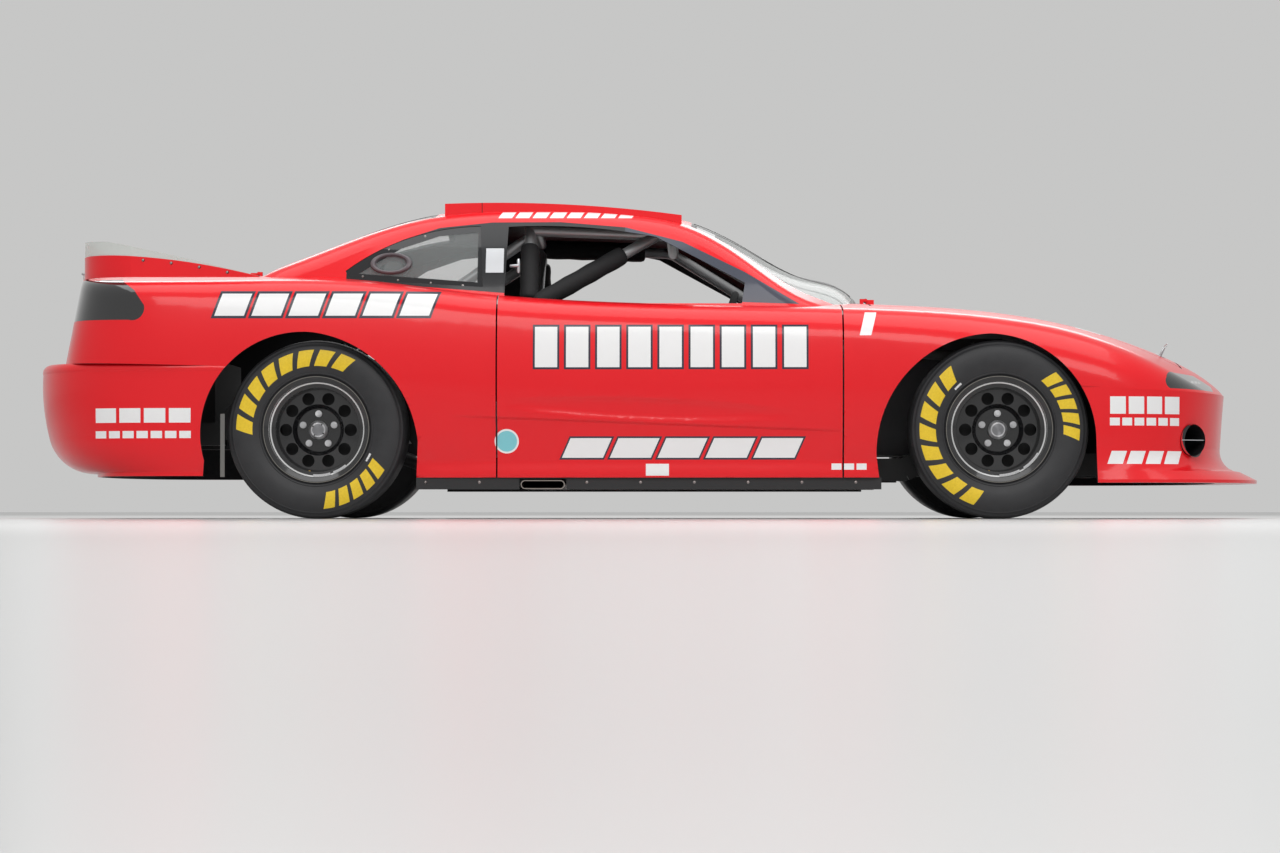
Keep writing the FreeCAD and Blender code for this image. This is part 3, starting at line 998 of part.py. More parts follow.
DASH_REAR, DASH_FRONT = FRONT_HOOP_X - 150, FRONT_HOOP_X - TUBE_R - SEAT
dashboard = outline_xz([("line", DASH_REAR, 700), ("line", DASH_REAR - 14, 812), ("arc", DASH_REAR + 40, 838, DASH_FRONT, 838),
                        ("line", DASH_FRONT, 660), ("line", DASH_FRONT - 40, 660)], -560, 600)
HELM = Vector(FRONT_AXLE - 1060, SEAT_Y, 770)
COLUMN = Vector(0.955, 0, -0.297)
ring = Part.makeTorus(size("steering_wheel_radius"), size("grip_radius"), HELM, COLUMN)
spokes = [ring]
for angle in (90, 210, 330):
    blade = Part.makeBox(8, size("steering_wheel_radius"), 34, Vector(-4, 0, -17))
    blade.rotate(Vector(0, 0, 0), Vector(1, 0, 0), angle - 90)
    spokes.append(feature_shape(blade, Placement(HELM, Rotation(Vector(1, 0, 0), COLUMN))))
SHAFT = 16.0
spokes.append(Part.makeCylinder(46, 20, HELM - COLUMN * 10, COLUMN))
spokes.append(Part.makeCylinder(SHAFT, 300, HELM, COLUMN))
steering_wheel = largest(fused(spokes))
sleeve_start = HELM + COLUMN * 90
sleeve = Part.makeCylinder(SHAFT + 12, 250, sleeve_start, COLUMN)
shaft_hole = Part.makeCylinder(SHAFT + size("running_clearance"), 270, sleeve_start - COLUMN * 5, COLUMN)
column_tube = largest(sleeve.cut(shaft_hole).cut(roll_cage))
sleeve_room = Part.makeCylinder(SHAFT + 12 + SEAT, 320, sleeve_start - COLUMN * 10, COLUMN)
dashboard = largest(dashboard.cut(sleeve_room).cut(roll_cage))

ARM_FRONT = SIDE_REAR + 30 - RAIL_W / 2 - SEAT
clamp = rod((REAR_AXLE, 308, AXLE_Z), (REAR_AXLE, 350, AXLE_Z), TUBE + 16)
link = rod((REAR_AXLE, 329, AXLE_Z), (ARM_FRONT - 24, 300, RAIL_Z), 24)
foot = box(ARM_FRONT - 40, ARM_FRONT, 270, 330, RAIL_Z - 34, RAIL_Z + 34)
bore = rod((REAR_AXLE, 280, AXLE_Z), (REAR_AXLE, 380, AXLE_Z), TUBE + SEAT)
trailing_arms = both_sides(largest(fused([clamp, link, foot]).cut(bore)))


def primitive(kind, name, values, base):
    """A plain primitive whose sizes and place are formulas of the sheet's cells."""
    obj = doc.addObject(kind, name)
    obj.Label = name
    for prop, formula in values.items():
        obj.setExpression(prop, formula)
    for axis, formula in zip("xyz", base):
        obj.setExpression(f".Placement.Base.{axis}", formula)
    return obj


AXLE_X = "Sizes.overall_length / 2 - Sizes.front_overhang"
BACK_X = f"{AXLE_X} - Sizes.wheelbase"
primitive("Part::Box", "engine_block",
          {"Length": "Sizes.engine_length", "Width": "Sizes.engine_width", "Height": "Sizes.engine_depth"},
          (f"{AXLE_X} - 560", "-Sizes.engine_width / 2", "Sizes.tyre_diameter / 2 - 91"))
primitive("Part::Box", "radiator",
          {"Length": "Sizes.radiator_thickness", "Width": "Sizes.radiator_width", "Height": "Sizes.radiator_depth"},
          (f"{AXLE_X} + 535", "-Sizes.radiator_width / 2",
           "Sizes.frame_height + Sizes.rail_depth + 15 + Sizes.seat_clearance"))
primitive("Part::Box", "fuel_cell",
          {"Length": "Sizes.fuel_cell_length", "Width": "Sizes.fuel_cell_width", "Height": "Sizes.fuel_cell_depth"},
          (f"{BACK_X} - 936", "-Sizes.fuel_cell_width / 2",
           "Sizes.tyre_diameter / 2 - 10 + Sizes.rail_depth / 2 - 5 + Sizes.seat_clearance"))
shaft = primitive("Part::Cylinder", "driveshaft",
                  {"Radius": "Sizes.driveshaft_radius", "Height": "Sizes.wheelbase - 560 - 560 - 170 - 0.6"},
                  (f"{BACK_X} + 170.3", "0", "Sizes.tyre_diameter / 2"))
shaft.Placement = Placement(shaft.Placement.Base, Rotation(Vector(0, 1, 0), 90))

FITTINGS = [
    ("frame", frame), ("roll_cage", roll_cage), ("floor_pan", floor_pan), ("firewall", firewall),
    ("rear_bulkhead", rear_bulkhead), ("coil_springs", coil_springs),
    ("suspension_arms", Part.makeCompound(front_arms.Solids + trailing_arms.Solids)),
    ("knuckle_left", knuckle_left), ("knuckle_right", mirrored(knuckle_left)),
    ("steering_rack", rack_bar), ("rack_housing", rack_housing), ("rear_axle", rear_axle),
    ("transmission", transmission), ("exhaust_pipe", exhaust_pipe),
    ("rocker_strips", rocker_strips), ("seat", seat), ("dashboard", dashboard),
    ("steering_wheel", steering_wheel), ("column_tube", column_tube)]
for name, shape in FITTINGS:
    feature(name, shape)

# ---------------------------------------------------------------- checks and export
doc.recompute()
NODES = [name for name, shape in PANELS + FITTINGS] + [piece.Label for piece in wheel_pieces]
NODES += ["engine_block", "radiator", "fuel_cell", "driveshaft"]
for obj in doc.Objects:
    if "Invalid" in obj.State or "Error" in obj.State:
        raise RuntimeError(f"{obj.Label}: {obj.State}")
for name in NODES:
    obj = doc.getObjectsByLabel(name)[0]
    shape = obj.Shape
    if shape.isNull() or not shape.isValid() or shape.Volume <= 0:
        raise RuntimeError(f"{name}: bad shape")
    shape.exportStep(f"parts/{name}.step")
    b = shape.BoundBox
    print(name, len(shape.Solids), round(shape.Volume / 1e6, 2),
          [round(v) for v in (b.XMin, b.XMax, b.YMin, b.YMax, b.ZMin, b.ZMax)])
print("nodes", len(NODES))
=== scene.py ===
# %% [markdown]
# # A stock car's looks
# The solids of the car come packed as a fixed frame in metres: +X is the nose, +Y the driver's left, +Z up.
# This script dresses them. Panels keep their own meshes and get paint; what is soft, thin or finely shaped,
# such as tyres, springs, pads, pins and hoses, is modelled here and rides on the same bodies.

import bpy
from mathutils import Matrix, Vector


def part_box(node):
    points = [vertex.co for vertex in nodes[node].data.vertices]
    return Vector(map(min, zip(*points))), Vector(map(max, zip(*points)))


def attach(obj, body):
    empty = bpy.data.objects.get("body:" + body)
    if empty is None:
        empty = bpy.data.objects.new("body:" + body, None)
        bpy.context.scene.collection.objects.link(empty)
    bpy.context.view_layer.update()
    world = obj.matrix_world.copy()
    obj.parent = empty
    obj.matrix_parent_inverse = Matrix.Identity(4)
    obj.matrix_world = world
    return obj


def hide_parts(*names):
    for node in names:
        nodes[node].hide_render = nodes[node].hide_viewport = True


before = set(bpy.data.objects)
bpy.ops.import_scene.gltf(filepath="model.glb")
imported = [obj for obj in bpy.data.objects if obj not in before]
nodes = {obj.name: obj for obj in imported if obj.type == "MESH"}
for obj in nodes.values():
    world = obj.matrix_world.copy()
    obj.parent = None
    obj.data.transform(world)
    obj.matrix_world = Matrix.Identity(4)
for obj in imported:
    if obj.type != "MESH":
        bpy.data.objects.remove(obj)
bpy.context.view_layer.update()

# %% Tools
import math

import bmesh
import bpy
from mathutils import Matrix, Vector

print(len(nodes), "nodes to dress")

# %% [markdown]
# Every wheel is placed from its tyre's box, so a change to the frame moves the looks with it. The front
# pair turns with its knuckles; all four turn on their hubs.

# %% Where the wheels are
ENDS = ("fr", "fl", "rr", "rl")


def middle(node):
    low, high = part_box(node)
    return (low + high) / 2


WHEELS = {end: middle("tyre_" + end) for end in ENDS}
tyre_low, tyre_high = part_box("tyre_fr")
TYRE_R = (tyre_high.z - tyre_low.z) / 2
FRONT_X, REAR_X, AXLE_Z = WHEELS["fr"].x, WHEELS["rr"].x, WHEELS["fr"].z
AXLES = ((FRONT_X, ("fr", "fl")), (REAR_X, ("rr", "rl")))


def axle_of(centre):
    return FRONT_X if centre.x > 0 else REAR_X


print("axles", round(FRONT_X, 3), round(REAR_X, 3), "tyre radius", round(TYRE_R, 3))

# %% [markdown]
# Shader maths reads best as plain arithmetic. `Signal` wraps one output socket and turns Python operators
# into Math nodes; `Finish` owns a material's node tree and adds any other node in one call.

# %% Shader maths


class Signal:
    """One socket's value in a material, with arithmetic."""

    def __init__(self, finish, socket):
        self.finish, self.socket = finish, socket

    def math(self, operation, *others):
        return self.finish.node("ShaderNodeMath", {"operation": operation}, self, *others)

    def __add__(self, other):
        return self.math("ADD", other)

    def __radd__(self, other):
        return self.math("ADD", other)

    def __sub__(self, other):
        return self.math("SUBTRACT", other)

    def __rsub__(self, other):
        return self.math("MULTIPLY_ADD", -1.0, other)

    def __mul__(self, other):
        return self.math("MULTIPLY", other)

    def __rmul__(self, other):
        return self.math("MULTIPLY", other)

    def __truediv__(self, other):
        return self.math("DIVIDE", other)

    def __abs__(self):
        return self.math("ABSOLUTE")

    def __gt__(self, other):
        return self.math("GREATER_THAN", other)

    def __lt__(self, other):
        return self.math("LESS_THAN", other)

    def fract(self):
        return self.math("FRACT")

    def sine(self):
        return self.math("SINE")

    def either(self, other):
        return self.math("MAXIMUM", other)

    def between(self, low, high):
        return (self > low) * (self < high)


def length_of(u, v):
    """How long the line (u, v) is."""
    return (u * u + v * v).math("SQRT")


# %% [markdown]
# A finish starts from one Principled surface. It reads a point's place from Object coordinates, which are
# metres in the frame, because every mesh holds its own place; so a mark can be put at a real height on the
# real side.

# %% Finishes


class Finish:
    """A material built on one Principled surface."""

    def __init__(self, name, colour, rough=0.5, **surface):
        self.material = bpy.data.materials.new(name)
        self.material.use_nodes = True
        self.tree = self.material.node_tree
        self.surface = self.tree.nodes["Principled BSDF"]
        self.colour = colour
        self.surface.inputs["Base Color"].default_value = (*colour, 1)
        self.surface.inputs["Roughness"].default_value = rough
        for socket, value in surface.items():
            self.surface.inputs[socket.replace("_", " ")].default_value = value
        self.where = self.node("ShaderNodeTexCoord", output="Object")
        self.x, self.y, self.z = self.parts(self.where)
        self.facing = self.node("ShaderNodeTexCoord", output="Normal")

    def node(self, kind, settings=None, *values, output=0, **named):
        """Adds a node: its settings first, then its inputs in order or by name. Returns one output."""
        made = self.tree.nodes.new(kind)
        for key, value in (settings or {}).items():
            setattr(made, key, value)
        pairs = list(enumerate(values)) + [(key.replace("_", " "), value) for key, value in named.items()]
        for key, value in pairs:
            self.join(made, key, value)
        return Signal(self, made.outputs[output])

    def join(self, node, key, value):
        """Links a signal to one input of a node, or sets a plain value there."""
        if isinstance(value, Signal):
            self.tree.links.new(value.socket, node.inputs[key])
        else:
            node.inputs[key].default_value = value

    def parts(self, vector):
        split = self.node("ShaderNodeSeparateXYZ", None, vector).socket.node
        return [Signal(self, socket) for socket in split.outputs]

    def blend(self, mask, first, second):
        """Colour first where mask is 0, second where it is 1."""
        made = self.node("ShaderNodeMix", {"data_type": "RGBA"}, mask, output=2)
        for key, colour in ((6, first), (7, second)):
            self.join(made.socket.node, key, colour if isinstance(colour, Signal) else (*colour, 1))
        return made

    def mixed(self, mask, first, second):
        """Number first where mask is 0, second where it is 1."""
        return mask * (second - first) + first

    def feed(self, socket, signal):
        self.tree.links.new(signal.socket, self.surface.inputs[socket])

    def noise(self, scale, detail=3.0, at=None):
        return self.node("ShaderNodeTexNoise", None, Vector=at or self.where, Scale=scale, Detail=detail)

    def bump(self, height, strength, distance):
        relief = self.node("ShaderNodeBump", None, Height=height, Strength=strength, Distance=distance)
        self.feed("Normal", relief)

    def grain(self, scale, strength, distance, detail=3.0):
        """A fine unevenness of one scale all over."""
        self.bump(self.noise(scale, detail), strength, distance)


def dress(finish, *names):
    """Gives CAD nodes one material in all their slots."""
    for name in names:
        for slot in nodes[name].material_slots:
            slot.material = finish.material
    print(finish.material.name, "on", ", ".join(names))


# %% [markdown]
# Rows of lettering are replaced by plain bars of the same colour, size and place. A row is worked out from
# where a point lies along the side, so it needs no picture: the span is cut into pitches, and each pitch is
# filled in part.

# %% Rows of plain bars
SIDE_Y = 0.55  # a point further out than this is on a side of the body


def bars(finish, start, end, low, high, pitch, fill, slant=0.0, rim=0.0):
    """Mask of bars on the car's sides: X span, Z span, spacing, filled share, lean, and a rim round each."""
    along = (finish.x - start - (finish.z - low) * slant) / pitch
    gap = 0.5 - fill / 2 - rim / pitch
    row = along.between(gap, (end - start) / pitch - gap) * finish.z.between(low - rim, high + rim)
    return row * (abs(along.fract() - 0.5) < 0.5 - gap) * (abs(finish.y) > SIDE_Y)


# %% [markdown]
# The paint is a bright red under clear coat, and the panels' inner sides are left a dull black. Which side
# a point is on is told by its normal: inside, it points back towards the car's middle.

# %% Body paint
RED, WHITE, INK = (0.80, 0.005, 0.012), (0.86, 0.86, 0.86), (0.03, 0.03, 0.05)
INSIDE = (0.016, 0.016, 0.018)
PAINT_ROUGH, PAINT_COAT, INSIDE_ROUGH = 0.30, 0.45, 0.6
MIDDLE_Z = 0.25  # height of the line that the panels' inner sides face
LENGTHWISE = 0.25  # how much of a normal's lengthwise part counts


def red_coat(name):
    """Red under clear coat, with the faint ripple of sprayed paint."""
    finish = Finish(name, RED, PAINT_ROUGH, Coat_Weight=PAINT_COAT, Coat_Roughness=0.09,
                    Specular_IOR_Level=0.25)
    finish.grain(160.0, 0.05, 0.0004)
    return finish


def inner_side(finish):
    """1 where a panel faces the car's middle."""
    nx, ny, nz = finish.parts(finish.facing)
    return (nx * finish.x * LENGTHWISE + ny * finish.y + nz * (finish.z - MIDDLE_Z)) < 0.0


def coat(finish, colour):
    """The clear coat's colour outside, dull black inside."""
    inside = inner_side(finish)
    finish.feed("Base Color", finish.blend(inside, colour, INSIDE))
    finish.feed("Coat Weight", finish.mixed(inside, PAINT_COAT, 0.0))
    finish.feed("Roughness", finish.mixed(inside, PAINT_ROUGH, INSIDE_ROUGH))


# %% [markdown]
# All the body's marks are laid over the red one after another: the rimmed rows on door, quarter panel and
# sill, the small rows on the bumpers and fender, four marks across the hood, and a small round label.

# %% Marks on the body
# columns: X start, X end, Z low, Z high, spacing, filled share, lean
DOOR_ROW = (-0.452, 0.630, 0.585, 0.742, 0.1202, 0.72, 0.0)
QUARTER_ROW = (-1.690, -0.830, 0.785, 0.872, 0.1433, 0.80, 0.35)
SILL_ROW = (-0.345, 0.580, 0.236, 0.312, 0.185, 0.86, 0.45)
SMALL_ROWS = [
    (-2.150, -1.757, 0.372, 0.428, 0.098, 0.86, 0.0),
    (-2.150, -1.757, 0.312, 0.340, 0.056, 0.80, 0.0),
    (1.775, 2.065, 0.405, 0.472, 0.0725, 0.84, 0.0),
    (1.775, 2.065, 0.360, 0.390, 0.048, 0.80, 0.0),
    (1.762, 2.060, 0.212, 0.262, 0.0745, 0.80, 0.35),
    (0.812, 0.868, 0.708, 0.800, 0.056, 0.80, 0.25),
    (-0.010, 0.085, 0.167, 0.213, 0.095, 0.94, 0.0),
    (0.705, 0.850, 0.190, 0.214, 0.0483, 0.80, 0.0)]
# columns: X of the rear and front edge on the middle line, nearest and furthest Y
HOOD_MARKS = [(1.600, 1.660, 0.12, 0.40), (1.750, 1.850, 0.26, 0.49)]
# the marks' edges run back as they go outward, and only what is over HOOD_Z has them
HOOD_SWEEP, HOOD_Z = 0.12, 0.62
LABEL_X, LABEL_Z = -0.545, 0.300
LABEL_DISCS = ((0.047, WHITE), (0.040, (0.22, 0.60, 0.66)))
# painted shade round the corner duct, dark like the inside of an opening: place, half length, half height
DUCT_SHADE_X, DUCT_SHADE_Z, DUCT_SHADE_LONG, DUCT_SHADE_TALL = 2.120, 0.302, 0.046, 0.060

paint = red_coat("body_red")
colour = RED
for row, rim in ((QUARTER_ROW, 0.010), (DOOR_ROW, 0.008), (SILL_ROW, 0.007)):
    colour = paint.blend(bars(paint, *row, rim=rim), colour, INK)
    colour = paint.blend(bars(paint, *row), colour, WHITE)
for row in SMALL_ROWS:
    colour = paint.blend(bars(paint, *row), colour, WHITE)
for x_rear, x_front, y_near, y_far in HOOD_MARKS:
    swept = paint.x + abs(paint.y) * HOOD_SWEEP
    mark = swept.between(x_rear, x_front) * abs(paint.y).between(y_near, y_far)
    colour = paint.blend(mark * (paint.z > HOOD_Z), colour, WHITE)
from_label = length_of(paint.x - LABEL_X, paint.z - LABEL_Z)
flank = abs(paint.y) > SIDE_Y
for radius, ink in LABEL_DISCS:
    colour = paint.blend((from_label < radius) * flank, colour, ink)
# painted shade: a dark oval on the bumper round each duct stands for the shade of its opening
u, v = (paint.x - DUCT_SHADE_X) / DUCT_SHADE_LONG, (paint.z - DUCT_SHADE_Z) / DUCT_SHADE_TALL
colour = paint.blend((u * u + v * v + u * v * 0.5 < 1.0) * flank, colour, INSIDE)
coat(paint, colour)
dress(paint, "hood", "decklid", "nose_panel", "tail_panel", "cowl_panel", "rear_shelf", "fenders", "doors",
      "quarter_panels", "front_bumper", "rear_bumper")

# %% [markdown]
# The rails on the roof and the folded spoiler base are thin red sheet on both sides, so they take the paint
# with no black inside. One dark line marks the joint between the rail's two lengths.

# %% Rails and spoiler base
JOINT_REAR, JOINT_FRONT, JOINT_Z = -0.662, -0.659, 1.16
flange = red_coat("flange_red")
joint = flange.x.between(JOINT_REAR, JOINT_FRONT) * (flange.z > JOINT_Z)
flange.feed("Base Color", flange.blend(joint, RED, (0.10, 0.0, 0.0)))
dress(flange, "roof_rails", "spoiler_base", "spoiler_base_sides")

# %% [markdown]
# On the greenhouse the red stops at the side glass: the pillars and window surrounds are black up to one
# long curve over both windows, with a slate band at its front. The curve bends one way, so it is where a
# point lies under every one of a few straight lines; the belt below is where it lies over two.

# %% Side-glass surround
# points (X, Z) along the upper curve, from the quarter window's tail to the foot of the windshield pillar
OVER = [(-1.186, 0.965), (-0.972, 1.096), (-0.822, 1.146), (-0.615, 1.168), (-0.347, 1.169), (-0.090, 1.147),
        (0.134, 1.087), (0.374, 0.967), (0.589, 0.839)]
BELT = [(-1.190, 0.932), (-0.461, 0.873), (0.640, 0.836)]
CABIN_Y = 0.45  # the side glass lies further out than this


def over_lines(finish, points, shift=0.0):
    """For each run between points, how far a place is over its line, moved up by shift."""
    heights = []
    for (x1, z1), (x2, z2) in zip(points, points[1:]):
        slope = (z2 - z1) / (x2 - x1)
        heights.append(finish.z - finish.x * slope - (z1 - slope * x1 + shift))
    return heights


def surround(finish, grow=0.0):
    """1 inside the side-glass outline, grown by grow."""
    mask = finish.x > OVER[0][0] - grow
    for height in over_lines(finish, OVER, grow):
        mask = mask * (height < 0.0)
    for height in over_lines(finish, BELT, -grow):
        mask = mask * (height > 0.0)
    return mask * (abs(finish.y) > CABIN_Y)


# %% Roof paint
SLATE, BLACK = (0.060, 0.068, 0.095), (0.012, 0.013, 0.015)
SLATE_REAR_X = -0.092
ROOF_ROW = (-0.600, -0.060, 1.186, 1.212, 0.0675, 0.80, 0.6)
roof_paint = red_coat("roof_red")
glass_side = surround(roof_paint)
colour = roof_paint.blend(glass_side, RED, BLACK)
slate_side = glass_side * (roof_paint.x > SLATE_REAR_X)
colour = roof_paint.blend(slate_side, colour, SLATE)
colour = roof_paint.blend(bars(roof_paint, *ROOF_ROW), colour, WHITE)
coat(roof_paint, colour)
dress(roof_paint, "roof")

# %% [markdown]
# Windows are clear plastic sheet: a thin skin that reflects, with a black band painted round the edge where
# it is glued or screwed down. The band is a second value of the same alpha and colour, not a piece of its
# own.

# %% Clear sheet
SIDE_TINT, SIDE_ALPHA, SIDE_BAND = (0.62, 0.66, 0.66), 0.13, 0.034
PANE_FRONT_X = -0.668
SCREEN_TINT, SCREEN_ALPHA = (0.55, 0.60, 0.58), 0.20
SCREEN_BANDS = (("windshield", 0.016), ("rear_window", 0.022))


def clear(name, tint, alpha, rough=0.03):
    return Finish(name, tint, rough, Alpha=alpha, IOR=1.5, Specular_IOR_Level=0.6)


side_sheet = clear("clear_side", SIDE_TINT, SIDE_ALPHA)
edge = 1 - surround(side_sheet, -SIDE_BAND)
pane = side_sheet.x < PANE_FRONT_X
painted = edge.either(1 - pane)
side_sheet.feed("Base Color", side_sheet.blend(painted, SIDE_TINT, BLACK))
side_sheet.feed("Alpha", side_sheet.mixed(painted, SIDE_ALPHA, 1.0))
dress(side_sheet, "quarter_windows")

screen = clear("clear_screen", SCREEN_TINT, SCREEN_ALPHA)
label = screen.x.between(0.190, 0.262) * (0 - screen.y).between(0.44, 0.58)
spans = []
for node, inset in SCREEN_BANDS:
    low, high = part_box(node)
    spans.append(screen.x.between(low.x + inset, high.x - inset))
band = 1 - spans[0].either(spans[1])
screen.feed("Base Color", screen.blend(band, screen.blend(label, SCREEN_TINT, WHITE), BLACK))
screen.feed("Alpha", screen.mixed(label.either(band), SCREEN_ALPHA, 1.0))
dress(screen, "windshield", "rear_window")

blade_sheet = clear("clear_blade", (0.62, 0.66, 0.62), 0.42, 0.08)
dress(blade_sheet, "spoiler_blade", "spoiler_blade_sides")

# %% [markdown]
# The lamps of this kind of car are only black covers, glossy enough to show soft waves. Frame, arms and
# sill strips are satin black; the cage is silver.

# %% Lamp covers and painted tubes
LAMP_MARKS = (2.120, 2.200, 0.531, 0.541, 0.020, 0.70, 0.4)
lamp_black = Finish("lamp_black", (0.010, 0.010, 0.011), 0.08, Coat_Weight=1.0, Coat_Roughness=0.02)
lamp_black.grain(9.0, 0.15, 0.004, 1.0)
lamp_bar = bars(lamp_black, *LAMP_MARKS)
lamp_black.feed("Base Color", lamp_black.blend(lamp_bar, lamp_black.colour, (0.65, 0.65, 0.65)))
dress(lamp_black, "headlamp_covers", "tail_lamp_covers")

satin_black = Finish("satin_black", (0.016, 0.016, 0.017), 0.42)
satin_black.grain(260.0, 0.10, 0.0005)
satin_black.feed("Roughness", satin_black.mixed(satin_black.noise(14.0), 0.34, 0.55))
dress(satin_black, "frame", "suspension_arms", "rear_axle", "column_tube", "rocker_strips")

cage_paint = Finish("cage_silver", (0.38, 0.385, 0.39), 0.38, Metallic=0.55)
cage_paint.grain(420.0, 0.06, 0.0003)
cage_paint.feed("Roughness", cage_paint.mixed(cage_paint.noise(8.0), 0.32, 0.50))
dress(cage_paint, "roll_cage")

# %% [markdown]
# Bare metals differ by their grain more than by their colour: sheet is brushed one way, so its noise is
# drawn out long in X; machined steel is patchy in its shine; a casting is coarse; the pipe is stained by
# heat.

# %% Bare metals
sheet_metal = Finish("sheet_alloy", (0.55, 0.56, 0.58), 0.38, Metallic=0.85)
brush_at = sheet_metal.node("ShaderNodeMapping", None, Vector=sheet_metal.where, Scale=(6.0, 260.0, 260.0))
sheet_metal.bump(sheet_metal.noise(3.0, 4.0, brush_at), 0.10, 0.0004)
dress(sheet_metal, "floor_pan", "firewall", "rear_bulkhead", "seat", "transmission")

steel = Finish("machined_steel", (0.50, 0.50, 0.51), 0.28, Metallic=0.9)
steel.feed("Roughness", steel.mixed(steel.noise(60.0, 5.0), 0.20, 0.42))
dress(steel, "steering_rack", "rack_housing", "driveshaft")

cast = Finish("cast_metal", (0.10, 0.10, 0.105), 0.6, Metallic=0.3)
cast.grain(120.0, 0.5, 0.001, 5.0)
dress(cast, "engine_block", "knuckle_left", "knuckle_right")

pipe = Finish("pipe_steel", (0.42, 0.38, 0.33), 0.35, Metallic=0.9)
pipe.feed("Base Color", pipe.blend(pipe.noise(5.0), (0.48, 0.46, 0.44), (0.28, 0.22, 0.17)))
dress(pipe, "exhaust_pipe")

# %% [markdown]
# Inside, nothing may dazzle the driver, so the dashboard is a dull black with a fine tooth, and the wheel's
# rim is wrapped in black suede.

# %% Dull blacks
dull_black = Finish("dull_black", (0.014, 0.014, 0.015), 0.62)
dull_black.grain(600.0, 0.25, 0.0004, 4.0)
dress(dull_black, "dashboard", "fuel_cell")

grip = Finish("grip_suede", (0.020, 0.020, 0.021), 0.85)
grip.grain(900.0, 0.4, 0.0004, 4.0)
dress(grip, "steering_wheel")

# %% [markdown]
# A hub shows its bright turned nose and its nuts through the wheel; the disc behind is dark cast iron. The
# two differ only by how far a point is from the axle, so one finish holds both.

# %% Hubs
IRON, TURNED, NOSE_GREY = (0.020, 0.020, 0.021), (0.55, 0.55, 0.56), (0.24, 0.24, 0.25)
HUB_FACE_R, NOSE_R = 0.080, 0.023


def from_axle(finish, axle_x):
    """Distance from an axle, and the angle about it in degrees, up from +X, seen from the right."""
    dx, dz = finish.x - axle_x, finish.z - AXLE_Z
    return length_of(dx, dz), dz.math("ARCTAN2", dx) * (180 / math.pi)


for axle_x, ends in AXLES:
    hub = Finish("hub_metal", TURNED, 0.3, Metallic=0.9)
    radius, angle = from_axle(hub, axle_x)
    outer = (abs(hub.y) > abs(WHEELS["fr"].y) - 0.02) * (radius < HUB_FACE_R)
    face = hub.blend(radius < NOSE_R, TURNED, NOSE_GREY)
    if axle_x == REAR_X:
        # a driven hub has four small bores round its nose; they are not cut, and painted shade stands for
        # them
        bore_shade = (abs(((angle - 10) / 90).fract() - 0.5) < 0.07) * radius.between(0.022, 0.027)
        face = hub.blend(bore_shade, face, (0.01, 0.01, 0.01))
    hub.feed("Base Color", hub.blend(outer, IRON, face))
    hub.feed("Metallic", hub.mixed(outer, 0.2, 0.9))
    hub.feed("Roughness", hub.mixed(outer, 0.6, 0.28))
    hub.bump((radius * 4200.0).sine() * outer * (0.6 + (angle * 0.07).sine() * 0.4), 0.25, 0.0004)
    dress(hub, *["hub_" + end for end in ends])

# %% [markdown]
# The wheels are pressed and welded steel under gloss black, with a bare silver bead where the centre meets
# the rim, and a painted highlight: a lighter line along the rim's edge.

# %% Wheel paint
WHEEL_FACE_Y = 0.70
# radii of the silver bead, and of the painted highlight along the rim's edge
LIP, RIM_HIGHLIGHT = (0.1785, 0.184), (0.2035, 0.2060)
for axle_x, ends in AXLES:
    wheel_paint = Finish("wheel_black", (0.008, 0.008, 0.009), 0.16, Coat_Weight=0.7, Coat_Roughness=0.05)
    radius, _ = from_axle(wheel_paint, axle_x)
    outboard = abs(wheel_paint.y) > WHEEL_FACE_Y
    lip, edge = radius.between(*LIP) * outboard, radius.between(*RIM_HIGHLIGHT) * outboard
    # painted highlight: a lighter line along the rim's edge
    colour = wheel_paint.blend(edge, wheel_paint.colour, (0.16, 0.15, 0.13))
    wheel_paint.feed("Base Color", wheel_paint.blend(lip, colour, (0.78, 0.78, 0.78)))
    wheel_paint.feed("Metallic", wheel_paint.mixed(lip, 0.0, 0.6))
    wheel_paint.grain(70.0, 0.04, 0.0006)
    dress(wheel_paint, *["wheel_" + end for end in ends])

# %% [markdown]
# New pieces are made with a few mesh tools. `keep` turns the result into an object on its body: its doubles
# are merged, its faces turned outward, and it is smooth but for its sharp edges.

# %% Keeping a piece


def keep(name, bm, finish, body, crease=35.0):
    """Makes an object of a bmesh: doubles merged, faces outward, smooth but for its sharp edges."""
    bmesh.ops.remove_doubles(bm, verts=bm.verts, dist=1e-6)
    bmesh.ops.recalc_face_normals(bm, faces=bm.faces)
    mesh = bpy.data.meshes.new(name)
    bm.to_mesh(mesh)
    bm.free()
    mesh.shade_smooth()
    mesh.set_sharp_from_angle(angle=math.radians(crease))
    mesh.materials.append(finish.material)
    obj = bpy.data.objects.new(name, mesh)
    bpy.context.scene.collection.objects.link(obj)
    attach(obj, body)
    print(name, len(mesh.polygons), "faces")
    return obj


# %% [markdown]
# Round things come from two tools: a line of points spun about an axis, as on a lathe, and a ring drawn out
# along a run of points, which turns and swells from one point to the next.

# %% Turning and drawing


def turned(bm, profile, centre, axis=(0, 1, 0), radial=(1, 0, 0), steps=48):
    """Spins a line of (radius, along) points about an axis."""
    axis, radial, centre = Vector(axis).normalized(), Vector(radial).normalized(), Vector(centre)
    line = [bm.verts.new(centre + radial * r + axis * along) for r, along in profile]
    edges = [bm.edges.new(pair) for pair in zip(line, line[1:])]
    bmesh.ops.spin(bm, geom=line + edges, cent=centre, axis=axis, angle=math.tau, steps=steps, use_merge=True)


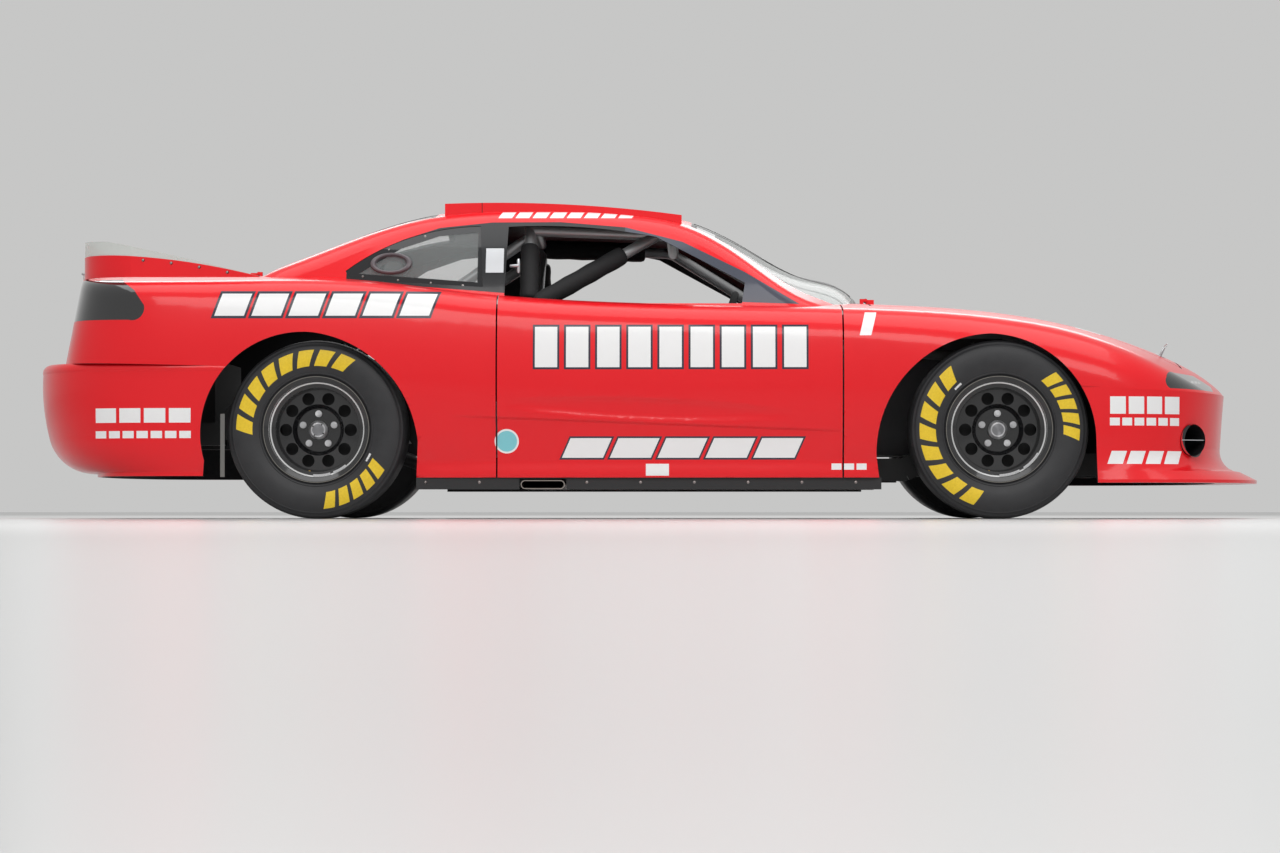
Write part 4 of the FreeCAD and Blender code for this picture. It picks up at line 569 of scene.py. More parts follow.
def tube(bm, points, radii, sides=14):
    """A round bar along points, with its ends filled. radii is one radius, or one for each point."""
    points = [Vector(p) for p in points]
    radii = radii if isinstance(radii, (list, tuple)) else [radii] * len(points)
    runs = [(b - a).normalized() for a, b in zip(points, points[1:])]
    aims = [runs[0]] + [(a + b).normalized() for a, b in zip(runs, runs[1:])] + [runs[-1]]
    start = Matrix.Translation(points[0]) @ aims[0].to_track_quat("Z", "Y").to_matrix().to_4x4()
    made = bmesh.ops.create_circle(bm, cap_ends=True, segments=sides, radius=radii[0], matrix=start)
    edges = list({e for v in made["verts"] for e in v.link_edges})
    for n in range(1, len(points)):
        made = bmesh.ops.extrude_edge_only(bm, edges=edges)["geom"]
        ring = [g for g in made if isinstance(g, bmesh.types.BMVert)]
        edges = [g for g in made if isinstance(g, bmesh.types.BMEdge) and all(v in ring for v in g.verts)]
        bend = aims[n - 1].rotation_difference(aims[n]).to_matrix().to_4x4()
        bend = bend @ Matrix.Scale(radii[n] / radii[n - 1], 4)
        move = Matrix.Translation(points[n]) @ bend @ Matrix.Translation(-points[n - 1])
        bmesh.ops.transform(bm, matrix=move, verts=ring)
    bmesh.ops.edgeloop_fill(bm, edges=edges)


def on_circle(centre, radius, degrees, across=(0, 1, 0), up=(0, 0, 1)):
    """The point of a circle at an angle from across towards up."""
    angle = math.radians(degrees)
    return Vector(centre) + Vector(across) * math.cos(angle) * radius + Vector(up) * math.sin(angle) * radius


# %% [markdown]
# Small fasteners are set on the real skin, not at written places: a line is dropped onto a solid, and each
# head is turned to the surface that it meets. Where a line misses, there is no head.

# %% Finding a surface and setting heads
DOWN = (0, 0, -1)


def probe(node, start, aim):
    """Where a line from start first meets a solid, and the normal there."""
    hit, at, normal, _ = nodes[node].ray_cast(Vector(start), Vector(aim))
    return (at, normal) if hit else None


def on_side(node, x, z, side):
    return probe(node, (x, 2.0 * side, z), (0, -side, 0))


def heads(bm, places, radius, height, sides=12):
    """Round heads on a surface. places: (point, outward normal), or None where a probe missed."""
    for at, normal in filter(None, places):
        aim = normal.to_track_quat("Z", "Y").to_matrix().to_4x4()
        # columns: lower and upper radius, lower and upper height, as shares
        for r1, r2, low, high in ((1.0, 0.82, 0.0, 0.55), (0.82, 0.35, 0.55, 1.0)):
            place = Matrix.Translation(at + normal * height * (low + high) / 2)
            bmesh.ops.create_cone(bm, cap_ends=True, segments=sides, radius1=radius * r1, radius2=radius * r2,
                                  depth=height * (high - low), matrix=place @ aim)


# %% [markdown]
# The lower side is pressed: a long crease runs from wheel to wheel with a shallow lens-shaped hollow above
# it, and the sill turns outward at its foot. The solids carry the plain skin, so the pressing is put into a
# copy of each side panel: rows are cut into it where the form bends, and its outer points then move by one
# formula of where they lie, so that the crease runs on across the door seams.

# %% The pressed form
CREASE_REAR, CREASE_FRONT, CREASE_Z, CREASE_FALL = -0.80, 0.83, 0.368, -0.0386
CREASE_FADE, LEDGE = 0.25, 0.008
LENS_X, LENS_Z, LENS_LONG, LENS_TALL, LENS_DEEP = 0.000, 0.424, 0.60, 0.044, 0.007
SILL_TURN, SILL_FOOT, SILL_END, FLARE = 0.232, 0.156, 0.95, 0.020


def ease(share):
    share = max(0.0, min(1.0, share))
    return share * share * (3 - 2 * share)


def relief(x, z):
    """How far the skin stands out from the plain side at a place."""
    fade = ease((x - CREASE_REAR) / CREASE_FADE) * ease((CREASE_FRONT - x) / CREASE_FADE)
    under = ease((CREASE_Z + CREASE_FALL * x - z) / 0.010 + 0.5)
    ledge = -LEDGE * fade * under * ease((z - 0.19) / 0.12)
    u, v = (x - LENS_X) / LENS_LONG, (z - LENS_Z - CREASE_FALL * (x - LENS_X)) / LENS_TALL
    lens = -LENS_DEEP * ease(1.25 * (1 - u * u - v * v))
    foot = FLARE * ease((SILL_TURN - z) / (SILL_TURN - SILL_FOOT)) * ease((SILL_END - abs(x)) / 0.10)
    return ledge + lens + foot


print("crease", round(relief(0.0, 0.34), 4), "lens", round(relief(0.0, LENS_Z), 4), "foot",
      round(relief(0.0, SILL_FOOT), 4))

# %% Pressed side panels
CREASE_ROWS = [-0.014, -0.009, -0.005, -0.002, 0.002, 0.005, 0.009, 0.014, 0.024, 0.036, 0.044, 0.052, 0.062,
               0.074, 0.084, 0.092, 0.100, 0.110]
SILL_ROWS_Z = [0.165, 0.175, 0.185, 0.195, 0.205, 0.215, 0.225, 0.235, 0.26, 0.29, 0.32]
UPRIGHT_X, UPRIGHT_STEP, UPRIGHTS = -0.94, 0.04, 48
PRESSED_Z, SKIN_Y = 0.50, 0.80  # the pressing ends below the one, and the skin lies outside the other
cuts = [((0, 0, CREASE_Z + row), (-CREASE_FALL, 0, 1)) for row in CREASE_ROWS]
cuts += [((0, 0, z), (0, 0, 1)) for z in SILL_ROWS_Z]
cuts += [((UPRIGHT_X + UPRIGHT_STEP * n, 0, 0), (1, 0, 0)) for n in range(UPRIGHTS)]
for node in ("doors", "fenders", "quarter_panels"):
    bm = bmesh.new()
    bm.from_mesh(nodes[node].data)
    bmesh.ops.remove_doubles(bm, verts=bm.verts, dist=1e-5)
    low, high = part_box(node)
    for at, normal in cuts:
        if normal[0] < 1 or low.x < at[0] < high.x:
            near = [f for f in bm.faces if min(v.co.z for v in f.verts) < PRESSED_Z]
            parts = {g for f in near for g in (f, *f.edges, *f.verts)}
            bmesh.ops.bisect_plane(bm, geom=list(parts), plane_co=at, plane_no=normal)
    bm.normal_update()
    for v in bm.verts:
        out = 1 if v.co.y > 0 else -1
        if v.normal.y * out > 0.3 and abs(v.co.y) > SKIN_Y:
            v.co.y += out * relief(v.co.x, v.co.z)
    skin = keep("pressed_" + node, bm, paint, "chassis", 30)
    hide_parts(node)

# %% [markdown]
# A racing slick has no tread. Its section is drawn once, from bead to bead: the toe under the rim, the
# raised bead line, a sidewall that bulges most halfway up, a ridge at the shoulder and a slightly crowned
# tread. Spun about the axle it becomes the tyre, closed by its inner wall.

# %% Tyre section
TOE_R, TOE_HALF = 0.1965, 0.100
# columns: radius, distance from the tyre's middle; from the bead out to the tread
OUTER_WALL = [(TOE_R, TOE_HALF), (TOE_R, 0.1225), (0.2090, 0.1262), (0.2125, 0.1285), (0.2150, 0.1325),
              (0.2185, 0.1338), (0.2215, 0.1318), (0.2250, 0.1330), (0.2390, 0.1392), (0.2560, 0.1432),
              (0.2760, 0.1448), (0.2960, 0.1436), (0.3120, 0.1402), (0.3200, 0.1372), (0.3215, 0.1380),
              (0.3240, 0.1368), (0.3250, 0.1348), (0.3330, 0.1290), (0.3355, 0.1282), (0.3368, 0.1262),
              (0.3415, 0.1190), (0.3448, 0.1060), (0.3458, 0.0900), (TYRE_R, 0.050)]
INNER_WALL = [(0.3300, 0.050), (0.3290, 0.095), (0.3160, 0.118), (0.2900, 0.129), (0.2600, 0.128),
              (0.2300, 0.118)]
tyre_line = [(r, -y) for r, y in OUTER_WALL] + [(r, y) for r, y in reversed(OUTER_WALL)]
tyre_line += [(r, y) for r, y in reversed(INNER_WALL)] + [(r, -y) for r, y in INNER_WALL]
tyre_line.append((TOE_R, -TOE_HALF))
print("tyre section", len(tyre_line), "points")

# %% [markdown]
# The rubber is mottled grey-black, with rings from the mould near the bead and the shoulder. Two arcs of
# worn yellow blocks and one short white dash are painted on the outer wall. They are told by radius and
# angle about the axle, so the front pair and the rear pair each have their own finish.

# %% Tyre rubber
YELLOW_DARK, YELLOW_PALE = (0.70, 0.46, 0.014), (0.92, 0.66, 0.030)
RUBBER = (0.022, 0.022, 0.024)
BLOCK_LOW, BLOCK_HIGH, BLOCK_SHARE = 0.246, 0.309, 0.36
LEAN_FROM, LEAN_OVER = 0.245, 0.065  # the radius where a block's lean starts, and the height that it is over
# arcs of yellow blocks, as seen from the right: first angle, span, blocks, lean in degrees
BLOCK_ROWS = {FRONT_X: [(130, 128, 8, 5), (-6, 57, 5, 4)], REAR_X: [(63, 124, 8, 5), (-82, 57, 5, 4)]}
DASH_ANGLES = {FRONT_X: 134, REAR_X: -28}
DASH_R, DASH_HALF, DASH_TURN = 0.230, 0.004, 4.2
rubbers = {}
for axle_x, rows in BLOCK_ROWS.items():
    rubber = Finish("tyre_rubber", RUBBER, 0.52, Specular_IOR_Level=0.45)
    radius, angle = from_axle(rubber, axle_x)
    outboard = abs(rubber.y) > WHEELS["fl"].y + 0.10
    ink = None
    for first, span, count, lean in rows:
        turn = ((angle - first + (radius - LEAN_FROM) * (lean / LEAN_OVER)) / 360).fract() * 360
        filled = abs((turn / (span / count)).fract() - 0.5) < BLOCK_SHARE
        block = (turn < span) * filled * radius.between(BLOCK_LOW, BLOCK_HIGH)
        ink = block if ink is None else ink.either(block)
    ink = ink * outboard
    mottle = rubber.noise(24.0, 5.0)
    base = rubber.blend(mottle, (0.016, 0.016, 0.018), (0.032, 0.032, 0.034))
    worn = rubber.blend(rubber.noise(150.0, 4.0), YELLOW_DARK, YELLOW_PALE)
    dash = abs(angle - DASH_ANGLES[axle_x]) < DASH_TURN
    dash = dash * radius.between(DASH_R - DASH_HALF, DASH_R + DASH_HALF)
    chalk = dash * outboard * (rubber.noise(700.0) > 0.42)
    rubber.feed("Base Color", rubber.blend(chalk, rubber.blend(ink, base, worn), WHITE))
    rubber.feed("Roughness", rubber.mixed(mottle, 0.42, 0.62))
    rings = (radius * 900.0).sine() * (1 - radius.between(0.228, 0.320)) * 0.2
    rubber.bump(ink * 0.8 + rubber.noise(300.0, 4.0) * 0.35 + rings, 0.35, 0.0008)
    rubbers[axle_x] = rubber
print("rubber for", len(rubbers), "axles")

# %% Tyres
for end, centre in WHEELS.items():
    bm = bmesh.new()
    turned(bm, tyre_line, centre, steps=120)
    tyre = keep("tyre_skin_" + end, bm, rubbers[axle_of(centre)], "wheelset_" + end)
    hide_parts("tyre_" + end)

# %% [markdown]
# Small things on each wheel: a brass valve stem, and two rows of clip-on balance weights along the silver
# bead.

# %% Valves and balance weights
brass = Finish("brass", (0.62, 0.40, 0.10), 0.3, Metallic=0.9)
brass.grain(300.0, 0.15, 0.0003)
lead = Finish("dull_lead", (0.72, 0.72, 0.73), 0.45, Metallic=0.4)
lead.grain(200.0, 0.3, 0.0005)
VALVE_R, VALVE_TURN = 0.166, -102
WEIGHT_R, WEIGHT_STEP = 0.178, 2
WEIGHT_SIZE = Matrix.Diagonal((0.0095, 0.006, 0.0054, 1))
# first and last angle of each row of weights, in degrees
WEIGHT_ROWS = {FRONT_X: ((-88, -62), (-56, -30)), REAR_X: ((-94, -72), (-68, -50))}
for end, centre in WHEELS.items():
    out = Vector((0, -1 if centre.y < 0 else 1, 0))
    stem_at = on_circle(centre + out * 0.030, VALVE_R, VALVE_TURN, (1, 0, 0))
    bm = bmesh.new()
    tube(bm, [stem_at - out * 0.020, stem_at + out * 0.004, stem_at + out * 0.006, stem_at + out * 0.020],
         [0.0042, 0.0042, 0.0055, 0.0050], 10)
    keep("valve_" + end, bm, brass, "wheelset_" + end)
    bm = bmesh.new()
    for first, last in WEIGHT_ROWS[axle_of(centre)]:
        for degrees in range(first, last, WEIGHT_STEP):
            angle = math.radians(degrees)
            x, z = centre.x + math.cos(angle) * WEIGHT_R, centre.z + math.sin(angle) * WEIGHT_R
            spot = on_side("wheel_" + end, x, z, out.y)
            if spot:
                place = Matrix.Translation(spot[0] + out * 0.0015) @ Matrix.Rotation(-angle, 4, "Y")
                bmesh.ops.create_cube(bm, size=1, matrix=place @ WEIGHT_SIZE)
    keep("balance_weights_" + end, bm, lead, "wheelset_" + end)

# %% [markdown]
# Springs are round wire wound on a cylinder: a small ring is spun about the upright axis while it climbs. A
# damper body and its rod stand inside. They replace the plain cylinders that hold their place.

# %% Coil springs and dampers
WIRE_R, COILS, COIL_STEPS = 0.0075, 7, 20
spring_paint = Finish("spring_grey", (0.20, 0.205, 0.21), 0.4, Metallic=0.3)
spring_paint.grain(200.0, 0.1, 0.0004)


def spring_unit(bm, low, high):
    """A spring and its damper in the box from low to high."""
    foot, reach = Vector(((low.x + high.x) / 2, (low.y + high.y) / 2, low.z)), (high.x - low.x) / 2
    tall = high.z - low.z
    climb = (tall - 0.035) / COILS / COIL_STEPS
    start = Matrix.Translation(foot + Vector((reach - WIRE_R, 0, WIRE_R + 0.010)))
    upright = Matrix.Rotation(math.pi / 2, 4, "X")
    made = bmesh.ops.create_circle(bm, cap_ends=True, segments=9, radius=WIRE_R, matrix=start @ upright)
    ring = made["verts"]
    ring_edges = list({e for v in ring for e in v.link_edges})
    bmesh.ops.spin(bm, geom=ring + ring_edges, cent=foot, axis=(0, 0, 1), dvec=(0, 0, climb),
                   angle=math.tau * COILS, steps=COIL_STEPS * COILS)
    turned(bm, [(0, 0), (reach, 0), (reach, 0.006), (0.026, 0.008), (0.026, tall * 0.62),
                (0.009, tall * 0.64), (0.009, tall - 0.014), (reach, tall - 0.010), (reach, tall), (0, tall)],
           foot, (0, 0, 1), steps=28)


spring_verts = [v.co for v in nodes["coil_springs"].data.vertices]
bm = bmesh.new()
for end in (1, -1):
    for side in (1, -1):
        own = [co for co in spring_verts if co.x * end > 0 and co.y * side > 0]
        spring_unit(bm, Vector(map(min, zip(*own))), Vector(map(max, zip(*own))))
springs = keep("spring_units", bm, spring_paint, "chassis")
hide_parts("coil_springs")

# %% [markdown]
# A thin plate or strap follows the panel under it. It starts as a flat grid between four corners,
# each point of the grid is dropped onto the solid, and the skin is then given its thickness.

# %% Laying thin plates on a surface


def laid(bm, node, corners, aim, lift=0.0005, thick=0.0015, steps=(8, 3)):
    """Adds a thin plate between four corners, dropped onto a solid along aim."""
    a, b, c, d = (Vector(corner) for corner in corners)
    grid = bmesh.ops.create_grid(bm, x_segments=steps[0], y_segments=steps[1], size=0.5)["verts"]
    missed = []
    for v in grid:
        u, w = v.co.x + 0.5, v.co.y + 0.5
        hit = probe(node, a.lerp(b, u).lerp(d.lerp(c, u), w), aim)
        if hit:
            v.co = hit[0] - Vector(aim) * lift
        else:
            missed.append(v)
    kept = [v for v in grid if v not in missed]
    bmesh.ops.delete(bm, geom=missed, context="VERTS")
    faces = list({f for v in kept for f in v.link_faces})
    bmesh.ops.recalc_face_normals(bm, faces=faces)
    if faces[0].normal.dot(Vector(aim)) > 0:
        bmesh.ops.reverse_faces(bm, faces=faces)
    bmesh.ops.solidify(bm, geom=faces, thickness=-thick)


# %% [markdown]
# On the right pillar a bright plate covers the joint between the glass and the door opening, with the
# handle that frees the window net beside it.

# %% Pillar plate and net latch
PLATE_REAR, PLATE_FRONT, PLATE_LOW, PLATE_HIGH = -0.636, -0.566, 0.962, 1.060
BESIDE_Y = -2.0  # clear of the car on its right
plate_steel = Finish("plate_steel", (0.62, 0.63, 0.65), 0.32, Metallic=0.9)
plate_steel.grain(90.0, 0.15, 0.0005)
corners = [(PLATE_REAR, BESIDE_Y, PLATE_LOW), (PLATE_FRONT, BESIDE_Y, PLATE_LOW),
           (PLATE_FRONT, BESIDE_Y, PLATE_HIGH), (PLATE_REAR, BESIDE_Y, PLATE_HIGH)]
bm = bmesh.new()
laid(bm, "roof", corners, (0, 1, 0), thick=0.002)
keep("pillar_plate", bm, plate_steel, "chassis")

latch_at = Vector((-0.518, -0.735, 0.990))
lever = [latch_at + Vector((-0.022, 0.014, 0)), latch_at, latch_at + Vector((0.012, -0.004, 0))]
post = [latch_at + Vector((0.010, 0, z)) for z in (-0.028, -0.020, 0.020, 0.028)]
bm = bmesh.new()
tube(bm, lever, [0.007, 0.007, 0.006], 12)
tube(bm, post, [0.004, 0.0065, 0.0065, 0.004], 12)
keep("net_latch", bm, plate_steel, "chassis")

# %% [markdown]
# The clear quarter window carries an oval air intake: a moulded collar on the pane and a ribbed hose that
# leads the air down to the rear brakes. Collar and hose are both turned or drawn round; the collar is then
# flattened to the oval.

# %% Quarter vent
vent_grey = Finish("vent_grey", (0.11, 0.095, 0.105), 0.35)
hose_black = Finish("hose_black", (0.010, 0.010, 0.011), 0.5)
for moulded in (vent_grey, hose_black):
    moulded.grain(220.0, 0.20, 0.0005, 4.0)
VENT_X, VENT_Z, VENT_LONG, VENT_TALL = -1.009, 1.000, 0.083, 0.046
# columns: radius as a share of the collar's, height over the pane
COLLAR = [(1.0, -0.001), (1.0, 0.004), (0.97, 0.009), (0.88, 0.012), (0.78, 0.010), (0.73, 0.004),
          (0.71, -0.010), (0.69, -0.050), (0.74, -0.050), (0.76, -0.004)]
vent_at, vent_out = on_side("quarter_windows", VENT_X, VENT_Z, -1)
along = Vector((0, 0, 1)).cross(vent_out).normalized()
turn = Matrix((along, vent_out.cross(along), vent_out)).transposed().to_4x4()
place = Matrix.Translation(vent_at) @ turn @ Matrix.Diagonal((VENT_LONG, VENT_TALL, 1, 1))
bm = bmesh.new()
turned(bm, COLLAR, (0, 0, 0), (0, 0, 1), steps=56)
bmesh.ops.transform(bm, matrix=place, verts=bm.verts)
keep("vent_collar", bm, vent_grey, "chassis")

# %% Ribbed hose
# directions of the hose's runs, from the pane inward and down; each is three steps long
HOSE_RUNS = [(0.000, 0.022, -0.004), (0.008, 0.022, -0.012), (0.014, 0.016, -0.024),
             (0.016, 0.010, -0.032), (0.018, 0.004, -0.036), (0.018, 0.002, -0.038)]
RIB_R, GROOVE_R = 0.040, 0.036
hose = [vent_at - vent_out * 0.045]
for run in HOSE_RUNS:
    for _ in range(3):
        hose.append(hose[-1] + Vector(run) / 1.5)
ribbed, radii = [], []
for a, b in zip(hose, hose[1:]):
    ribbed += [a, a.lerp(b, 0.5)]
    radii += [GROOVE_R, RIB_R]
bm = bmesh.new()
tube(bm, ribbed, radii, 20)
keep("vent_hose", bm, hose_black, "chassis")

# %% [markdown]
# Bars near a driver's head and arms are wrapped in black foam. The foam is a thick sleeve with rounded ends
# round each tube; its skin is slightly uneven.

# %% Padding on the cage
foam = Finish("foam_black", (0.012, 0.012, 0.013), 0.78)
foam.grain(35.0, 0.5, 0.004, 4.0)
# columns: start and end of the tube's axis, shares along it where the sleeve starts and ends, radius
SLEEVES = [((-0.471, -0.676, 0.828), (0.035, -0.502, 1.127), 0.05, 0.735, 0.037),
           ((-0.471, 0.520, 1.145), (0.080, 0.500, 1.125), 0.02, 0.80, 0.040),
           ((-0.471, -0.678, 0.826), (-0.471, -0.520, 1.160), 0.10, 0.76, 0.036),
           ((-0.471, 0.678, 0.826), (-0.471, 0.520, 1.160), 0.10, 0.76, 0.036)]
ROUNDING, UNEVEN = [0.70, 0.90, 1.0], 0.03
bm = bmesh.new()
for start, end, first, last, radius in SLEEVES:
    start, end = Vector(start), Vector(end)
    shares = [first, first + 0.008, first + 0.03] + [first + (last - first) * n / 8 for n in range(1, 8)]
    shares += [last - 0.03, last - 0.008, last]
    sizes = ROUNDING + [1.0 + UNEVEN * (-1) ** n for n in range(7)] + ROUNDING[::-1]
    tube(bm, [start.lerp(end, share) for share in shares], [radius * size for size in sizes], 20)
keep("cage_padding", bm, foam, "chassis", 60)

# %% [markdown]
# Straps run down the outside of both screens to hold them in against the air: three on the windshield and
# two on the rear window, each a thin dark strip fastened at both ends.

# %% Screen straps
strap_black = Finish("strap_black", (0.012, 0.012, 0.013), 0.4)
strap_black.grain(200.0, 0.1, 0.0004)
STRAP_HALF, OVER_Z = 0.011, 3
# columns: screen, rear end, front end, places across
STRAPS = [("windshield", 0.178, 0.830, (-0.30, 0.0, 0.30)), ("rear_window", -1.530, -0.858, (-0.22, 0.22))]
bm = bmesh.new()
for node, x_rear, x_front, places in STRAPS:
    for y in places:
        corners = [(x_rear, y - STRAP_HALF, OVER_Z), (x_front, y - STRAP_HALF, OVER_Z),
                   (x_front, y + STRAP_HALF, OVER_Z), (x_rear, y + STRAP_HALF, OVER_Z)]
        laid(bm, node, corners, DOWN, 0.0008, 0.002, (26, 1))
keep("screen_straps", bm, strap_black, "chassis")

# %% [markdown]
# The side panes are screwed round their edge, and the clear blade is riveted to the red base all the way
# round. Each head is set by dropping a line onto the piece from outside.

# %% Pane screws and spoiler rivets
rivet_steel = Finish("rivet_steel", (0.30, 0.27, 0.26), 0.35, Metallic=0.9)
PANE_SCREWS = ((-1.120, 0.950), (-0.980, 0.934), (-0.850, 0.922), (-0.725, 0.912), (-1.020, 1.058),
               (-0.880, 1.112))
BASE_X, BASE_Y, BASE_STEP, BELOW_TOP = -2.183, 0.842, 0.1094, 0.013
LID_Y, LID_STEP, LID_Z = -0.60, 0.12, 1.012
BEHIND_X = -4.0
bm = bmesh.new()
panes = [on_side("quarter_windows", x, z, side) for side in (-1, 1) for x, z in PANE_SCREWS]
heads(bm, panes, 0.005, 0.002, 10)
keep("pane_screws", bm, rivet_steel, "chassis")

sides = []
for side in (-1, 1):
    for n in range(6):
        x = BASE_X + BASE_STEP * n
        top = probe("spoiler_base_sides", (x, side * BASE_Y, OVER_Z), DOWN)
        sides.append(top and on_side("spoiler_base_sides", x, top[0].z - BELOW_TOP, side))
lid = [probe("spoiler_base", (BEHIND_X, LID_Y + LID_STEP * n, LID_Z), (1, 0, 0)) for n in range(11)]
for name, places, body in (("rivets_sides", sides, "chassis"), ("rivets_lid", lid, "decklid")):
    bm = bmesh.new()
    heads(bm, places, 0.0065, 0.003, 10)
    keep(name, bm, rivet_steel, body)

# %% [markdown]
# Lids on a racing car are held by pins: a post stands through a round plate and a sprung wire clip passes
# through the post, its loop standing clear so that a gloved hand can pull it. Each is a few turned and drawn
# pieces.

# %% Lid pins
pin_steel = Finish("pin_steel", (0.42, 0.42, 0.43), 0.3, Metallic=0.9)
LOOP_R, LOOP_START, LOOP_TURN, LOOP_STEPS = 0.017, -90, 305, 15


def lid_pin(bm, at, out, loop_up, reach):
    """A post with its plate and a wire clip whose loop stands towards loop_up."""
    across = out.cross(loop_up).normalized()
    turned(bm, [(0, 0), (0.021, 0), (0.021, 0.0012), (0.019, 0.002), (0.007, 0.002), (0.0055, 0.004),
                (0.0055, reach - 0.006), (0.003, reach), (0, reach)], at, out, across, 20)
    eye = at + out * (reach - 0.013)
    loop_at = eye + across * 0.014 + loop_up * LOOP_R
    turns = [LOOP_START + LOOP_TURN * n / LOOP_STEPS for n in range(LOOP_STEPS + 1)]
    wire = [eye - across * 0.016, eye + across * 0.014]
    wire += [on_circle(loop_at, LOOP_R, degrees, across, loop_up) for degrees in turns]
    tube(bm, wire, 0.0013, 8)


bm = bmesh.new()
for side in (-1, 1):
    at, out = probe("hood", (2.045, side * 0.36, OVER_Z), DOWN)
    lid_pin(bm, at, out, (out + Vector((0.5, 0, 0.2))).normalized(), 0.036)
keep("hood_pins", bm, pin_steel, "hood")
bm = bmesh.new()
for side in (-1, 1):
    at, out = probe("spoiler_base", (BEHIND_X, side * 0.34, 0.985), (1, 0, 0))
    lid_pin(bm, at, out, Vector(DOWN), 0.050)
keep("decklid_pins", bm, pin_steel, "decklid")

# %% [markdown]
# The nose breathes through a wide mouth closed by woven wire. The wire follows the bumper's own curve: its
# distance from the skin is found by probing just above the mouth. A wireframe of a fine grid is the weave.

# %% Mouth mesh
wire_steel = Finish("mesh_steel", (0.05, 0.05, 0.052), 0.45, Metallic=0.5)
MOUTH_WIDE, MOUTH_TALL, MOUTH_Z, OVER_MOUTH_Z, SET_BACK = 0.660, 0.094, 0.345, 0.402, 0.026
bm = bmesh.new()
grid = bmesh.ops.create_grid(bm, x_segments=66, y_segments=9, size=0.5)["verts"]
for v in grid:
    y, z = v.co.x * MOUTH_WIDE, MOUTH_Z + v.co.y * MOUTH_TALL
    skin, _ = probe("front_bumper", (4.0, y, OVER_MOUTH_Z), (-1, 0, 0))
    v.co = Vector((skin.x - SET_BACK, y, z))
mesh_guard = keep("mouth_mesh", bm, wire_steel, "chassis", 180)
weave = mesh_guard.modifiers.new("weave", "WIREFRAME")
weave.thickness = 0.0022

# %% [markdown]
# A round duct in each corner of the bumper takes air to the front brakes. It is a turned cup behind the
# bore, with one thin bright fin across it.

# %% Corner ducts
duct_black = Finish("duct_black", (0.006, 0.006, 0.007), 0.5)
duct_black.grain(180.0, 0.20, 0.0005, 4.0)
DUCT_X, DUCT_Y, DUCT_Z, DUCT_R = 2.102, 0.760, 0.306, 0.0615
FIN_SIZE = Matrix.Diagonal((0.122, 0.050, 0.003, 1))
for side, name in ((-1, "right"), (1, "left")):
    inward = Vector((-0.54, -side * 0.84, 0)).normalized()
    mouth = Vector((DUCT_X, DUCT_Y * side, DUCT_Z))
    bm = bmesh.new()
    turned(bm, [(DUCT_R, -0.030), (DUCT_R, 0.030), (0.050, 0.100), (0.0, 0.100)],
           mouth, inward, (0, 0, 1), 40)
    keep("duct_" + name, bm, duct_black, "chassis")
    bm = bmesh.new()
    fin = Matrix.Translation(mouth) @ inward.to_track_quat("Y", "Z").to_matrix().to_4x4()
    bmesh.ops.create_cube(bm, size=1, matrix=fin @ FIN_SIZE)
    keep("duct_fin_" + name, bm, plate_steel, "chassis")

# %% [markdown]
# Odd small hardware that the side shows: a flat stay behind each rear wheel that carries the bumper's lower
# corner, and the screws that hold the black sill strips.

# %% Stays and sill screws
dull_grey = Finish("dull_grey", (0.17, 0.165, 0.155), 0.6)
dull_grey.grain(150.0, 0.2, 0.0005)
STAY_X, STAY_Y, STAY_Z = -1.650, 0.868, 0.285
STAY_SIZE = Matrix.Diagonal((0.017, 0.004, 0.245, 1))
SCREW_X, SCREW_STEP, SCREW_Z = -0.86, 0.208, 0.142
bm = bmesh.new()
for side in (-1, 1):
    bmesh.ops.create_cube(bm, size=1, matrix=Matrix.Translation((STAY_X, side * STAY_Y, STAY_Z)) @ STAY_SIZE)
keep("bumper_stays", bm, dull_grey, "chassis")
screws = []
for side in (-1, 1):
    screws += [on_side("rocker_strips", SCREW_X + SCREW_STEP * n, SCREW_Z, side) for n in range(9)]
bm = bmesh.new()
heads(bm, screws, 0.006, 0.003, 10)
keep("sill_screws", bm, rivet_steel, "chassis")

# %% [markdown]
# The seat is a bare alloy bucket with two pads, each a cushion of foam in black cloth. A pad starts as a
# rounded block a little smaller than its place and is blown up as cloth until its faces crown and its edges
# pull in.

# %% Pad cloth and the cushion maker
pad_cloth = Finish("pad_cloth", (0.013, 0.013, 0.014), 0.9, Sheen_Weight=0.3)
weave_u = (pad_cloth.y * 1300.0).sine()
weave_v = ((pad_cloth.x + pad_cloth.z) * 1300.0).sine()
pad_cloth.bump(weave_u * weave_v * 0.5 + pad_cloth.noise(40.0), 0.4, 0.0012)
VOXEL, PRESSURE, BLOW_FRAMES = 0.006, 4, 20


def bake(obj):
    """Puts an object's modifiers into its mesh."""
    shaped = bpy.data.meshes.new_from_object(obj.evaluated_get(bpy.context.evaluated_depsgraph_get()))
    obj.modifiers.clear()
    old, obj.data = obj.data, shaped
    bpy.data.meshes.remove(old)


def blow_up(pad, cap):
    """Swells a pad as cloth under pressure, with no point moving further than cap."""
    remesh = pad.modifiers.new("even", "REMESH")
    remesh.mode, remesh.voxel_size = "VOXEL", VOXEL
    bake(pad)
    rest = [v.co.copy() for v in pad.data.vertices]
    cloth = pad.modifiers.new("blow", "CLOTH")
    cloth.settings.use_pressure = True
    cloth.settings.uniform_pressure_force = PRESSURE
    cloth.settings.effector_weights.gravity = 0
    for step in range(1, BLOW_FRAMES + 1):
        bpy.context.scene.frame_set(step)
    bake(pad)
    bpy.context.scene.frame_set(1)
    for v, start in zip(pad.data.vertices, rest):
        moved = v.co - start
        if moved.length > cap:
            v.co = start + moved * (cap / moved.length)


